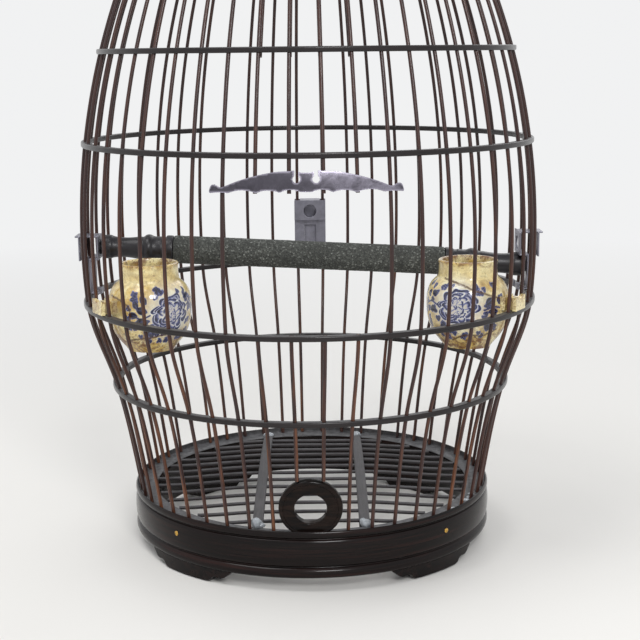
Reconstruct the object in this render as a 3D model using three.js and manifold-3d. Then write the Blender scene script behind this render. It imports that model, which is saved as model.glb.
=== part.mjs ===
// A round bamboo songbird cage: a turned base on four feet, five drilled hoops, forty-eight bent
// bars, a lifting door, a tilted perch on sheet-metal brackets, two glazed pots that slide out of
// the wall, and a turned crown with a swivelling hook.
// Millimetres, +Z up, the ground at z = 0, the door at -Y. An azimuth is counted from the door
// towards +X, and a piece that sits in the wall is built at the door and turned to its azimuth.
// Radii of turned pieces are across their flats.
import * as THREE from "three";
import { mergeGeometries, mergeVertices } from "three/addons/utils/BufferGeometryUtils.js";
import Module from "manifold-3d";

const wasm = await Module();
wasm.setup();

const upAxis = new THREE.Vector3(0, 0, 1);
const degree = Math.PI / 180;

// Fits
const clearance = 0.3;
const cutOverrun = 2;
const weldTolerance = 1e-4;

// Bars: groups of four share a node, and the group at the door is replaced by the door
const barCount = 48;
const barsPerGroup = 4;
const barSides = 5;
const barRadius = 1.25;
const barPitch = (2 * Math.PI) / barCount;
const groupPitch = barPitch * barsPerGroup;

// Hoops, each a rise above the one below
const hoopWidth = 5.5;
const hoopThickness = 3.5;
const waistHoopHeight = 114.6;
const potHoopRise = 58;
const doorHoopRise = 108.7;
const upperHoopRise = 61;
const topHoopShare = 0.45;

// Wall outline: a slightly flared foot, a long bulging side arc, then a dome
const bulgeRadius = 156.8;
const bulgeRise = 43.7;
const sideRadius = 465;
const domeRise = 58;
const domeRadius = 158;
const waistRadius = 137;
const footRadius = 121.9;
const waistFlareShare = 0.27;
const footFlareShare = 0.17;

// Base ring
const ledgeHeight = 37.5;
const ledgeWidth = 10.9;
const ledgeMargin = 1.25;
const bellyProjection = 2.4;
const baseBottomHeight = 9.2;
const beadRise = 3.6;
// Outer face as shares: radius of the belly's projection past the ledge, height of bottom to ledge
const baseFaceShares = [
  [0.5, 0],
  [0.85, 0.09],
  [0.8, 0.2],
  [-0.1, 0.265],
  [0.8, 0.33],
  [1, 0.58],
  [0.8, 0.865],
  [0, 0.933],
  [0.85, 1.02],
];

// Cloud feet
const footHalfSpan = 38;
const footDepth = 13;
const footInset = 1.5;
const footAzimuths = [42, 138, 222, 318].map((angle) => angle * degree);
// Lower edge of the right half as shares: half span, height
const footOutlineShares = [
  [0, 0],
  [0.3, 0],
  [0.56, 0],
  [0.62, 0.3],
  [0.7, 0.44],
  [0.79, 0.36],
  [0.88, 0.56],
  [0.95, 0.8],
  [1, 0.92],
];

// Floor grating: arched battens carry straight rods that slope down past them
const rodCount = 13;
const rodRadius = 1.25;
const rodSides = 5;
const rodSpreadShare = 0.855;
const rodDrop = 4;
const battenOffset = 35;
const battenWidth = 7;
const battenHeight = 4.6;
const battenSteps = 12;
const floorCrownHeight = 41.3;
const floorRise = 5;

// Round port in the wall below the door
const portRadius = 19.9;
const portBoreRadius = 9.9;
const portThickness = 6;
const portRounding = 1.4;
const portSides = 20;
const portInset = 1.2;

// Door: a bat-shaped plate across four bars that run up through the hoops
const doorHang = 22;
const doorBarStandout = 9.5;
const doorBarSteps = 12;
const plateHalfSpan = 57.5;
const plateHeight = 13;
const plateThickness = 1.6;
const plateStandoff = 0.5;
// Right half as shares: half span, lower edge height, upper edge height
const plateOutlineShares = [
  [0, 0.08, 0.96],
  [0.07, 0.12, 0.97],
  [0.1, 0.17, 0.97],
  [0.105, 0.17, 0.52],
  [0.13, 0.19, 0.52],
  [0.135, 0.19, 1],
  [0.26, 0.06, 0.99],
  [0.38, 0.15, 0.91],
  [0.49, 0.04, 0.81],
  [0.64, 0.14, 0.62],
  [0.8, 0.02, 0.38],
  [0.86, 0, 0.26],
  [0.9, 0, 0.25],
  [0.95, 0, 0.38],
  [0.985, 0, 0.28],
  [1, 0.02, 0.1],
];

// Crown and hook
const collarInnerRadius = 14;
const collarOuterRadius = 25;
const collarHeight = 4.4;
const collarSteps = 2;
const barEngagement = 2.6;
const plateDiscInset = 2.2;
const plateDiscHeight = 7;
const capRadius = 28.5;
const capHeight = 20;
// Outer face of the cap as shares: radius, height
const capFaceShares = [
  [0.93, 0],
  [1, 0.12],
  [0.98, 0.24],
  [0.8, 0.4],
  [0.56, 0.5],
  [0.42, 0.62],
  [0.38, 0.8],
  [0.44, 0.9],
  [0.4, 1],
];
const crownSides = 16;
const ferruleRadius = 7.5;
const ferruleHeight = 4.5;
const shankRadius = 3;
const shankSides = 8;
const hookBeadRadius = 5;
const hookBeadHeight = 5;
const hookRoundRadius = 26;
const hookNeck = 12;
const hookHandle = 9;
const hookStartAngle = -52 * degree;
const hookEndAngle = 205 * degree;
const hookArcSteps = 10;
const hookNeckSteps = 3;
const nutRadius = 5.6;
const nutHeight = 5;
const nutSides = 6;
const nutProjection = 1.5;

// Perch brackets, bent from sheet
const sheet = 1.2;
const bracketWidth = 25;
const bracketRise = 42.15;
const bracketLip = 3;
const bracketFaceStandoff = 3.2;
const bracketFaceHeight = 17;
const bracketShelfDrop = 16.4;
const bracketStep = 5.5;
const bracketLegWidth = 9;
const bracketLegLift = 1.95;
const bracketHookReach = 1.4;
const bracketHookRise = 4;
const bracketFlangeWidth = 16;
const bracketHoleSides = 20;
const bracketHoleDrop = 8.7;
const bracketSlotDrop = 20.6;
const rearBracketLift = 7;

// Perch
const perchRadius = 9.35;
const perchSides = 12;
const perchCoreHalfLength = 95;
const perchEndGap = 2.2;
const tenonRadius = 4.2;
const tenonPlay = 0.8;
// Turned end as shares: distance from the core to the end face, perch radius
const perchEndShares = [
  [0, 0.98],
  [0.1, 0.98],
  [0.16, 0.86],
  [0.3, 0.9],
  [0.36, 1],
  [0.44, 0.82],
  [0.72, 0.72],
  [0.88, 0.82],
  [1, 0.82],
];

// Pots
const potAzimuth = 60 * degree;
const potStandoff = 3;
const potBodyRadius = 27.4;
const potHeight = 57.5;
const potWall = 2.8;
const potSides = 16;
// Outside as shares: body radius, height
const potOutlineShares = [
  [0.58, 0],
  [0.76, 0.12],
  [0.98, 0.36],
  [1, 0.5],
  [0.84, 0.72],
  [0.72, 0.82],
  [0.75, 1],
];
const lugWidth = 12;
const lugHeight = 10;
const lugRise = 25.4;
const lugReach = 7.3;
const lugGrooveDepth = 2.4;
const lugGrooveWidth = 5;

// Materials
function finish(color, roughness, metalness) {
  return new THREE.MeshStandardMaterial({ color, roughness, metalness });
}
const lacqueredWood = finish(0x2a1b18, 0.3, 0);
const bamboo = finish(0x3a2426, 0.38, 0);
const paleBamboo = finish(0x4b403a, 0.6, 0);
const sheetMetal = finish(0x9a9a9c, 0.35, 1);
const doorMetal = finish(0x8f8c92, 0.4, 1);
const hookMetal = finish(0xb8b4ac, 0.25, 1);
const grit = finish(0x464546, 0.95, 0);
const glaze = finish(0xb4b09c, 0.25, 0);

// Solids and geometries
function solidOf(geometry) {
  const bare = geometry.clone();
  bare.deleteAttribute("normal");
  bare.deleteAttribute("uv");
  const welded = mergeVertices(bare, weldTolerance);
  const mesh = new wasm.Mesh({
    numProp: 3,
    vertProperties: welded.attributes.position.array,
    triVerts: new Uint32Array(welded.index.array),
  });
  return new wasm.Manifold(mesh);
}

function geometryOf(solid) {
  const mesh = solid.getMesh();
  const geometry = new THREE.BufferGeometry();
  geometry.setAttribute("position", new THREE.BufferAttribute(mesh.vertProperties, 3));
  geometry.setIndex(new THREE.BufferAttribute(mesh.triVerts, 1));
  const faceted = geometry.toNonIndexed();
  faceted.computeVertexNormals();
  return faceted;
}

function joined(geometries) {
  return geometryOf(geometries.map(solidOf).reduce((sum, solid) => sum.add(solid)));
}

function cut(geometry, tools) {
  const toolSolid = solidOf(mergeGeometries(tools));
  return geometryOf(solidOf(geometry).subtract(toolSolid));
}

// A solid of revolution about Z from [radius, height] pairs, its radii across the flats.
function turned(profile, sides) {
  const flatShare = Math.cos(Math.PI / sides);
  const points = profile.map(([radius, height]) => new THREE.Vector2(radius / flatShare, height));
  return new THREE.LatheGeometry(points, sides).rotateX(Math.PI / 2);
}

function turnedRing(profile, sides) {
  return turned([...profile, profile[0]], sides);
}

function polygon(radius, sides) {
  const points = [];
  for (let i = 0; i < sides; i += 1) {
    const angle = (2 * Math.PI * i) / sides;
    points.push(new THREE.Vector2(radius * Math.cos(angle), radius * Math.sin(angle)));
  }
  return points;
}

// A path that puts its rings exactly on the given stations.
class StationPath extends THREE.Curve {
  constructor(stations) {
    super();
    this.stations = stations;
  }

  getPoint(share, target = new THREE.Vector3()) {
    const place = share * (this.stations.length - 1);
    const index = Math.min(Math.floor(place), this.stations.length - 2);
    return target.lerpVectors(this.stations[index], this.stations[index + 1], place - index);
  }

  getPointAt(share, target) {
    return this.getPoint(share, target);
  }

  getTangentAt(share, target) {
    return this.getTangent(share, target);
  }
}

function rod(stations, radius, sides) {
  const section = new THREE.Shape(polygon(radius, sides));
  const path = new StationPath(stations);
  const steps = stations.length - 1;
  return new THREE.ExtrudeGeometry(section, { steps, extrudePath: path, bevelEnabled: false });
}

// A block in the frame of a wall piece: radii outwards from the axis, width across, heights up.
function block(radii, widths, heights) {
  const [inner, outer] = radii;
  const [left, right] = widths;
  const [low, high] = heights;
  const box = new THREE.BoxGeometry(right - left, outer - inner, high - low);
  return box.translate(between(left, right), -between(inner, outer), between(low, high));
}

function between(a, b) {
  return (a + b) / 2;
}

// The wall's outline
const potHoopHeight = waistHoopHeight + potHoopRise;
const doorHoopHeight = potHoopHeight + doorHoopRise;
const upperHoopHeight = doorHoopHeight + upperHoopRise;
const domeStartHeight = upperHoopHeight + domeRise;
const bulgeHeight = potHoopHeight + bulgeRise;
const sideCentre = new THREE.Vector2(bulgeRadius - sideRadius, bulgeHeight);
const domeStartLean = Math.asin((domeStartHeight - bulgeHeight) / sideRadius);
const domeCentre = new THREE.Vector2(Math.cos(domeStartLean), Math.sin(domeStartLean))
  .multiplyScalar(sideRadius - domeRadius)
  .add(sideCentre);
const barFootHeight = ledgeHeight + clearance + barRadius * footFlareShare;
const potHoopLean = Math.asin((potHoopHeight - bulgeHeight) / sideRadius);
const potHoopBarRadius = sideCentre.x + sideRadius * Math.cos(potHoopLean);

// A cubic between two rings of the wall, its handles at thirds so that height runs evenly.
function flare(low, high) {
  const third = (high.height - low.height) / 3;
  const start = new THREE.Vector2(low.radius, low.height);
  const end = new THREE.Vector2(high.radius, high.height);
  const startHandle = start.clone().add(new THREE.Vector2(low.flare * third, third));
  const endHandle = end.clone().sub(new THREE.Vector2(high.flare * third, third));
  return new THREE.CubicBezierCurve(start, startHandle, endHandle, end);
}

const footRing = { radius: footRadius, height: ledgeHeight, flare: footFlareShare };
const waistRing = { radius: waistRadius, height: waistHoopHeight, flare: waistFlareShare };
const potRing = { radius: potHoopBarRadius, height: potHoopHeight, flare: -Math.tan(potHoopLean) };
const lowerFlares = [flare(footRing, waistRing), flare(waistRing, potRing)];

// The bars' centre line at a height, as radius, height and the lean of its outward normal.
function wallAt(height) {
  if (height >= domeStartHeight) {
    const lean = Math.asin((height - domeCentre.y) / domeRadius);
    return { radius: domeCentre.x + domeRadius * Math.cos(lean), height, lean };
  }
  if (height >= potHoopHeight) {
    const lean = Math.asin((height - sideCentre.y) / sideRadius);
    return { radius: sideCentre.x + sideRadius * Math.cos(lean), height, lean };
  }
  const curve = height >= waistHoopHeight ? lowerFlares[1] : lowerFlares[0];
  const share = (height - curve.v0.y) / (curve.v3.y - curve.v0.y);
  const tangent = curve.getTangent(share);
  return { radius: curve.getPoint(share).x, height, lean: -Math.atan(tangent.x / tangent.y) };
}

// A point of the wall at an azimuth, moved in along the normal by an inset.
// A point at a radius and height, turned from the door towards +X.
function around(radius, azimuth, height) {
  return new THREE.Vector3(0, -radius, height).applyAxisAngle(upAxis, azimuth);
}

function wallPoint(height, azimuth, inset = 0) {
  const place = wallAt(height);
  const radius = place.radius - inset * Math.cos(place.lean);
  return around(radius, azimuth, height - inset * Math.sin(place.lean));
}

function domeHeight(lean) {
  return domeCentre.y + domeRadius * Math.sin(lean);
}

// A point of the side arc by its lean, carried on past the start of the dome.
function sidePoint(lean, azimuth) {
  const radius = sideCentre.x + sideRadius * Math.cos(lean);
  const point = new THREE.Vector3(0, -radius, sideCentre.y + sideRadius * Math.sin(lean));
  return point.applyAxisAngle(upAxis, azimuth);
}

// Heights at which the bars bend: every hoop, the foot, the crown and one place between each
const barEndRadius = collarOuterRadius - barEngagement;
const barEndLean = Math.acos((barEndRadius - domeCentre.x) / domeRadius);
const topHoopLean = THREE.MathUtils.lerp(domeStartLean, barEndLean, topHoopShare);
const topHoopHeight = domeHeight(topHoopLean);
const domeStations = [
  domeHeight(between(domeStartLean, topHoopLean)),
  topHoopHeight,
  domeHeight(between(topHoopLean, barEndLean)),
  domeHeight(barEndLean),
];
const sideStations = [
  potHoopHeight,
  between(potHoopHeight, doorHoopHeight),
  doorHoopHeight,
  upperHoopHeight,
  domeStartHeight,
];
const lowerStations = [barFootHeight, waistHoopHeight];
const groupAzimuths = [];
for (let i = 0; i < barsPerGroup; i += 1) {
  groupAzimuths.push((i - (barsPerGroup - 1) / 2) * barPitch);
}

// Pieces of the wall
const collarMiddleHeight = wallAt(domeHeight(barEndLean)).height - (barEngagement / 2) * Math.cos(barEndLean);
const collarBottom = collarMiddleHeight - collarHeight / 2;
const collarTop = collarMiddleHeight + collarHeight / 2;

function collarWedge() {
  const halfAngle = groupPitch / 2 - clearance / (2 * collarInnerRadius);
  const start = -Math.PI / 2 - halfAngle;
  const end = -Math.PI / 2 + halfAngle;
  const outline = new THREE.Shape();
  outline.absarc(0, 0, collarOuterRadius, start, end, false);
  outline.absarc(0, 0, collarInnerRadius, end, start, true);
  const options = { depth: collarHeight, bevelEnabled: false, curveSegments: collarSteps };
  return new THREE.ExtrudeGeometry(outline, options).translate(0, 0, collarBottom);
}

function barGroup() {
  const heights = [...lowerStations, ...sideStations, ...domeStations];
  const bars = groupAzimuths.map((azimuth) => {
    const stations = heights.map((height) => wallPoint(height, azimuth));
    return rod(stations, barRadius, barSides);
  });
  return joined([collarWedge(), ...bars]);
}

// Above the door the bars hang inside the hoops, so that the door's own bars can pass.
function crownBarGroup() {
  const inset = hoopWidth / 2 + clearance + barRadius;
  const hungHeights = [upperHoopHeight, domeStartHeight, ...domeStations.slice(0, 2)];
  const risingHeights = domeStations.slice(2);
  const bars = groupAzimuths.map((azimuth) => {
    const stations = [
      wallPoint(upperHoopHeight - hoopThickness / 2, azimuth, inset),
      ...hungHeights.map((height) => wallPoint(height, azimuth, inset)),
      ...risingHeights.map((height) => wallPoint(height, azimuth)),
    ];
    return rod(stations, barRadius, barSides);
  });
  return joined([collarWedge(), ...bars]);
}

// A hoop with a hole for each bar. The top hoop's section leans with the wall.
function hoop(height, azimuths, sides, tilt) {
  const centre = wallAt(height);
  const corners = [
    [-hoopWidth / 2, -hoopThickness / 2],
    [hoopWidth / 2, -hoopThickness / 2],
    [hoopWidth / 2, hoopThickness / 2],
    [-hoopWidth / 2, hoopThickness / 2],
  ];
  const section = corners.map(([out, up]) => [
    centre.radius + out * Math.cos(tilt) - up * Math.sin(tilt),
    height + out * Math.sin(tilt) + up * Math.cos(tilt),
  ]);
  const holeWidth = 2 * (barRadius + clearance);
  const holeLength = hoopThickness + hoopWidth + cutOverrun;
  const drills = azimuths.map((azimuth) =>
    new THREE.BoxGeometry(holeWidth, holeWidth, holeLength)
      .rotateX(-centre.lean)
      .translate(0, -centre.radius, height)
      .rotateZ(azimuth),
  );
  return cut(turnedRing(section, sides), drills);
}

const allAzimuths = [];
for (let i = 0; i < barCount; i += 1) {
  allAzimuths.push((i + 1 / 2) * barPitch);
}
const wallAzimuths = allAzimuths.slice(barsPerGroup / 2, barCount - barsPerGroup / 2);

// Door travel along the side arc
const doorOpenHeight = doorHoopHeight - doorHang;
const doorClosedHeight = potHoopHeight + hoopThickness / 2 + clearance;
const doorOpenLean = wallAt(doorOpenHeight).lean;
const doorTravel = doorOpenLean - wallAt(doorClosedHeight).lean;
const doorBarTop = upperHoopHeight + hoopThickness / 2 + doorBarStandout;
const doorBarTopLean = wallAt(doorBarTop).lean + doorTravel;

function doorBar(azimuth) {
  const stations = [];
  for (let i = 0; i <= doorBarSteps; i += 1) {
    const lean = THREE.MathUtils.lerp(doorOpenLean, doorBarTopLean, i / doorBarSteps);
    stations.push(sidePoint(lean, azimuth));
  }
  return rod(stations, barRadius, barSides);
}

// A strip bent round the cage: four corners at each place along it, from left to right.
function strip(rings) {
  const indices = [];
  for (let i = 0; i < rings.length - 1; i += 1) {
    for (let side = 0; side < 4; side += 1) {
      const a = 4 * i + side;
      const b = 4 * i + ((side + 1) % 4);
      indices.push(a, a + 4, b + 4, a, b + 4, b);
    }
  }
  const last = 4 * (rings.length - 1);
  indices.push(0, 1, 2, 0, 2, 3, last, last + 2, last + 1, last, last + 3, last + 2);
  const positions = rings.flat().flatMap((point) => point.toArray());
  const geometry = new THREE.BufferGeometry();
  geometry.setAttribute("position", new THREE.Float32BufferAttribute(positions, 3));
  geometry.setIndex(indices);
  return geometry;
}

// A half outline with its mirror image on the left, from left to right.
function bothHalves(half) {
  const mirrored = half.slice(1).map(([across, ...rest]) => [-across, ...rest]);
  return [...mirrored.reverse(), ...half];
}

function doorPlate() {
  const back = -(barRadius + plateStandoff);
  const front = back - plateThickness;
  const rings = bothHalves(plateOutlineShares).map(([across, low, high]) => {
    const azimuth = (across * plateHalfSpan) / bulgeRadius;
    const lowHeight = doorOpenHeight + low * plateHeight;
    const highHeight = doorOpenHeight + high * plateHeight;
    return [
      wallPoint(lowHeight, azimuth, back),
      wallPoint(lowHeight, azimuth, front),
      wallPoint(highHeight, azimuth, front),
      wallPoint(highHeight, azimuth, back),
    ];
  });
  return strip(rings);
}

// Port: its lean is the wall's, and its rim stands on the ledge
const portLean = wallAt(ledgeHeight + portRadius).lean;
const portRimDrop = portRadius * Math.cos(portLean) - (portThickness / 2) * Math.sin(portLean);
const portHeight = ledgeHeight + clearance + portRimDrop / Math.cos(Math.PI / portSides);

function portRing() {
  const face = portThickness / 2;
  const profile = [
    [portBoreRadius, -face],
    [portRadius - portRounding, -face],
    [portRadius, -face + portRounding],
    [portRadius, face - portRounding],
    [portRadius - portRounding, face],
    [portBoreRadius, face],
  ];
  const centre = wallPoint(portHeight, 0, portInset);
  return turnedRing(profile, portSides)
    .rotateX(Math.PI / 2 - portLean)
    .translate(centre.x, centre.y, centre.z);
}

// Short bars below the door: the middle two end on the port's rim
function shortBarFoot(azimuth) {
  const offset = Math.abs(wallPoint(portHeight, azimuth).x) - barRadius;
  if (offset > portRadius) {
    return barFootHeight;
  }
  const rim = Math.sqrt(portRadius ** 2 - offset ** 2) / Math.cos(Math.PI / portSides);
  const edgeRise = (portThickness / 2 + barRadius) * Math.abs(Math.sin(portLean));
  return portHeight + rim * Math.cos(portLean) + edgeRise + clearance;
}

function shortBar(azimuth) {
  const top = potHoopHeight + hoopThickness / 2 - clearance;
  const foot = shortBarFoot(azimuth);
  const middle = between(foot, waistHoopHeight);
  const upper = between(waistHoopHeight, potHoopHeight);
  const heights = [foot, middle, waistHoopHeight, upper, potHoopHeight, top];
  const stations = heights.map((height) => wallPoint(height, azimuth));
  return rod(stations, barRadius, barSides);
}

// Base, feet and floor
const ledgeRadius = footRadius + barRadius + ledgeMargin;
const baseInnerRadius = footRadius - ledgeWidth;

function baseRing() {
  const projection = bellyProjection;
  const rise = ledgeHeight - baseBottomHeight;
  const face = baseFaceShares.map(([out, up]) => [
    ledgeRadius + out * projection,
    baseBottomHeight + up * rise,
  ]);
  const beadTop = ledgeHeight + beadRise;
  const bead = [
    [ledgeRadius + (3 * projection) / 4, beadTop],
    [ledgeRadius + projection / 4, beadTop],
    [ledgeRadius, ledgeHeight],
  ];
  const inside = [
    [baseInnerRadius, ledgeHeight],
    [baseInnerRadius, baseBottomHeight],
  ];
  return turnedRing([...face, ...bead, ...inside], barCount);
}

function cloudFoot() {
  const top = baseBottomHeight - clearance;
  const inner = baseInnerRadius + footInset;
  const outer = inner + footDepth;
  const rings = bothHalves(footOutlineShares).map(([across, low]) => {
    const azimuth = (across * footHalfSpan) / outer;
    return [
      around(inner, azimuth, low * top),
      around(outer, azimuth, low * top),
      around(outer, azimuth, top),
      around(inner, azimuth, top),
    ];
  });
  return strip(rings);
}

function floorHeightAt(y) {
  return floorCrownHeight - floorRise * (y / baseInnerRadius) ** 2;
}

const rodPlaces = [];
for (let i = 0; i < rodCount; i += 1) {
  rodPlaces.push(((2 * i) / (rodCount - 1) - 1) * rodSpreadShare * baseInnerRadius);
}

// How far a piece that is this far off the centre line can reach inside the base.
function reachInside(offset) {
  return Math.sqrt((baseInnerRadius - clearance) ** 2 - offset ** 2);
}

function floorRod(y) {
  const bend = battenOffset + battenWidth / 2 + rodRadius;
  const end = reachInside(Math.abs(y) + rodRadius);
  const height = floorHeightAt(y);
  const drop = (rodDrop * (end - bend)) / (baseInnerRadius - bend);
  const stations = [
    new THREE.Vector3(-end, y, height - drop),
    new THREE.Vector3(-bend, y, height),
    new THREE.Vector3(bend, y, height),
    new THREE.Vector3(end, y, height - drop),
  ];
  return rod(stations, rodRadius, rodSides);
}

// The batten's outline lies in the YZ plane, so it is drawn as (y, z) and turned into place.
function batten() {
  const end = reachInside(battenOffset + battenWidth / 2);
  const top = [];
  for (let i = 0; i <= battenSteps; i += 1) {
    const y = THREE.MathUtils.lerp(end, -end, i / battenSteps);
    top.push(new THREE.Vector2(y, floorHeightAt(y) + battenHeight / 2));
  }
  const down = new THREE.Vector2(0, -battenHeight);
  const bottom = top.map((point) => point.clone().add(down)).reverse();
  const outline = new THREE.Shape([...top, ...bottom]);
  const holeWidth = 2 * (rodRadius + clearance);
  const arch = new THREE.ExtrudeGeometry(outline, { depth: battenWidth, bevelEnabled: false })
    .translate(0, 0, -battenWidth / 2)
    .rotateX(Math.PI / 2)
    .rotateZ(Math.PI / 2);
  const drills = rodPlaces.map((y) =>
    new THREE.BoxGeometry(battenWidth + cutOverrun, holeWidth, holeWidth)
      .translate(0, y, floorHeightAt(y)),
  );
  return cut(arch, drills);
}

// Crown and hook
const crownBoreRadius = shankRadius + 2 * clearance;
const plateDiscRadius = collarOuterRadius - plateDiscInset;
const plateDiscTop = collarBottom - clearance;
const plateDiscBottom = plateDiscTop - plateDiscHeight;
const capBottom = collarTop + clearance;
const capTop = capBottom + capHeight;
const ferruleBottom = capTop + clearance;
const ferruleTop = ferruleBottom + ferruleHeight;
const hookBeadBottom = ferruleTop + clearance;
const hookBeadTop = hookBeadBottom + hookBeadHeight;
const hookCentreHeight = hookBeadTop + hookNeck + hookRoundRadius;
const nutTop = plateDiscBottom - clearance;
const nutBottom = nutTop - nutHeight;

function crownPlate() {
  const chamfer = plateDiscHeight / 2;
  const profile = [
    [crownBoreRadius, plateDiscBottom],
    [plateDiscRadius - chamfer, plateDiscBottom],
    [plateDiscRadius, plateDiscBottom + chamfer],
    [plateDiscRadius, plateDiscTop],
    [crownBoreRadius, plateDiscTop],
  ];
  return turnedRing(profile, crownSides);
}

function crownCap() {
  const face = capFaceShares.map(([out, up]) => [out * capRadius, capBottom + up * capHeight]);
  const bore = [
    [crownBoreRadius, capTop],
    [crownBoreRadius, capBottom],
  ];
  return turnedRing([...face, ...bore], crownSides);
}

function ferrule() {
  const profile = [
    [crownBoreRadius, ferruleBottom],
    [ferruleRadius, ferruleBottom],
    [ferruleRadius, between(ferruleBottom, ferruleTop)],
    [between(ferruleRadius, crownBoreRadius), ferruleTop],
    [crownBoreRadius, ferruleTop],
  ];
  return turnedRing(profile, crownSides);
}

function hookNut() {
  const profile = [
    [shankRadius + clearance, nutBottom],
    [nutRadius, nutBottom],
    [nutRadius, nutTop],
    [shankRadius + clearance, nutTop],
  ];
  return turnedRing(profile, 2 * nutSides);
}

// A question-mark hook: a straight shank, a bend aside, then a round that hangs over the shank.
function hook() {
  const shankFoot = new THREE.Vector3(0, 0, nutBottom - nutProjection);
  const neckFoot = new THREE.Vector3(0, 0, hookBeadTop);
  const round = [];
  for (let i = 0; i <= hookArcSteps; i += 1) {
    const angle = THREE.MathUtils.lerp(hookStartAngle, hookEndAngle, i / hookArcSteps);
    const x = hookRoundRadius * Math.cos(angle);
    const z = hookCentreHeight + hookRoundRadius * Math.sin(angle);
    round.push(new THREE.Vector3(x, 0, z));
  }
  const roundStart = new THREE.Vector3(-Math.sin(hookStartAngle), 0, Math.cos(hookStartAngle));
  const neck = new THREE.CubicBezierCurve3(
    neckFoot,
    neckFoot.clone().addScaledVector(upAxis, hookHandle),
    round[0].clone().addScaledVector(roundStart, -hookHandle),
    round[0],
  );
  const bend = neck.getPoints(hookNeckSteps).slice(0, -1);
  const tube = rod([shankFoot, ...bend, ...round], shankRadius, shankSides);
  const bead = turned(
    [
      [0, hookBeadBottom],
      [between(shankRadius, hookBeadRadius), hookBeadBottom],
      [hookBeadRadius, between(hookBeadBottom, hookBeadTop)],
      [between(shankRadius, hookBeadRadius), hookBeadTop],
      [0, hookBeadTop],
    ],
    shankSides * 2,
  );
  return joined([tube, bead]);
}

// Perch brackets, seated on the pot hoop: the face outside the bars, the fork inside them
const potHoopTop = potHoopHeight + hoopThickness / 2;
const bracketTopHeight = potHoopTop + bracketRise;
const bracketFaceRadius = bulgeRadius + bracketFaceStandoff;
const bracketLipRadius = bracketFaceRadius + bracketLip;
const bracketLegRadius = potHoopBarRadius + sheet / 2;
const barsInnerRadius = potHoopBarRadius * Math.cos(barPitch / 2) - barRadius;
const bracketLowerRadius = barsInnerRadius - clearance - sheet;
const bracketInnerRadius = bracketLowerRadius - bracketStep;
const bracketHookRadius = bracketInnerRadius - bracketHookReach;
const bracketShelfHeight = bracketTopHeight - bracketShelfDrop;
const bracketLowerHeight = potHoopTop + bracketLegLift;
const bracketHoleHeight = bracketTopHeight - bracketHoleDrop;
const bracketSlotTop = bracketTopHeight - bracketSlotDrop;
const bracketHoleRadius = tenonRadius + tenonPlay;
const bracketSlotWidth = 2 * (tenonRadius + clearance);

function bracket(lift) {
  const half = bracketWidth / 2;
  const legHalf = bracketLegWidth / 2;
  const slotHalf = bracketSlotWidth / 2;
  const flangeHalf = bracketFlangeWidth / 2;
  const top = bracketTopHeight + lift;
  const faceBottom = top - bracketFaceHeight;
  const shelf = bracketShelfHeight + lift;
  const low = bracketLowerHeight + lift;
  const slotTop = bracketSlotTop + lift;
  const legFoot = potHoopTop + clearance;
  const lowerOuter = bracketLowerRadius + sheet;
  const flange = block([bracketInnerRadius, bracketLipRadius], [-flangeHalf, flangeHalf], [top - sheet, top]);
  const face = block([bracketFaceRadius - sheet, bracketFaceRadius], [-half, half], [faceBottom, top]);
  const jog = block([bracketLegRadius, bracketFaceRadius], [-legHalf, legHalf], [faceBottom, faceBottom + sheet]);
  const leg = block([bracketLegRadius, bracketLegRadius + sheet], [-legHalf, legHalf], [legFoot, faceBottom + sheet]);
  const inner = block([bracketInnerRadius, bracketInnerRadius + sheet], [-half, half], [shelf, top]);
  const step = block([bracketInnerRadius, lowerOuter], [-half, half], [shelf, shelf + sheet]);
  const lower = block([bracketLowerRadius, lowerOuter], [-half, half], [low, shelf + sheet]);
  const hooks = [-1, 1].flatMap((side) => {
    const widths = side < 0 ? [-half, -slotHalf] : [slotHalf, half];
    return [
      block([bracketHookRadius, lowerOuter], widths, [low, low + sheet]),
      block([bracketHookRadius, bracketHookRadius + sheet], widths, [low, low + bracketHookRise]),
    ];
  });
  const hole = turned(
    [
      [0, -sheet],
      [bracketHoleRadius, -sheet],
      [bracketHoleRadius, sheet],
      [0, sheet],
    ],
    bracketHoleSides,
  )
    .rotateX(Math.PI / 2)
    .translate(0, -(bracketInnerRadius + sheet / 2), bracketHoleHeight + lift);
  const slotRadii = [bracketLowerRadius - cutOverrun, lowerOuter + cutOverrun];
  const slot = block(slotRadii, [-slotHalf, slotHalf], [low - cutOverrun, slotTop]);
  const sheetMetalBody = joined([flange, face, jog, leg, inner, step, lower, ...hooks]);
  return cut(sheetMetalBody, [hole.toNonIndexed(), slot.toNonIndexed()]);
}

// The perch lies on the left bracket's hole and in the right bracket's slot
const perchLeft = new THREE.Vector3(
  -(bracketInnerRadius + sheet / 2),
  0,
  bracketHoleHeight - (bracketHoleRadius - tenonRadius - clearance),
);
const perchRight = new THREE.Vector3(
  bracketLowerRadius + sheet / 2,
  0,
  bracketSlotTop - clearance - tenonRadius,
);
const perchDirection = perchRight.clone().sub(perchLeft).normalize();
const perchMiddle = perchLeft.clone().addScaledVector(perchDirection, -perchLeft.x / perchDirection.x);
const leftTenonTip = bracketInnerRadius + sheet + cutOverrun;
const rightTenonTip = bracketLegRadius - 2 * clearance;
const perchLeftReach = bracketInnerRadius - perchEndGap;
const perchRightReach = bracketLowerRadius - perchEndGap;

function perchCore() {
  const half = perchCoreHalfLength;
  const profile = [
    [0, -half],
    [perchRadius, -half],
    [perchRadius, half],
    [0, half],
  ];
  return turned(profile, perchSides);
}

function perchEnd(reach, tip) {
  const start = perchCoreHalfLength + clearance;
  const face = perchEndShares.map(([along, out]) => [
    out * perchRadius,
    THREE.MathUtils.lerp(start, reach, along),
  ]);
  const profile = [[0, start], ...face, [tenonRadius, reach], [tenonRadius, tip], [0, tip]];
  return turned(profile, perchSides);
}

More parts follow.
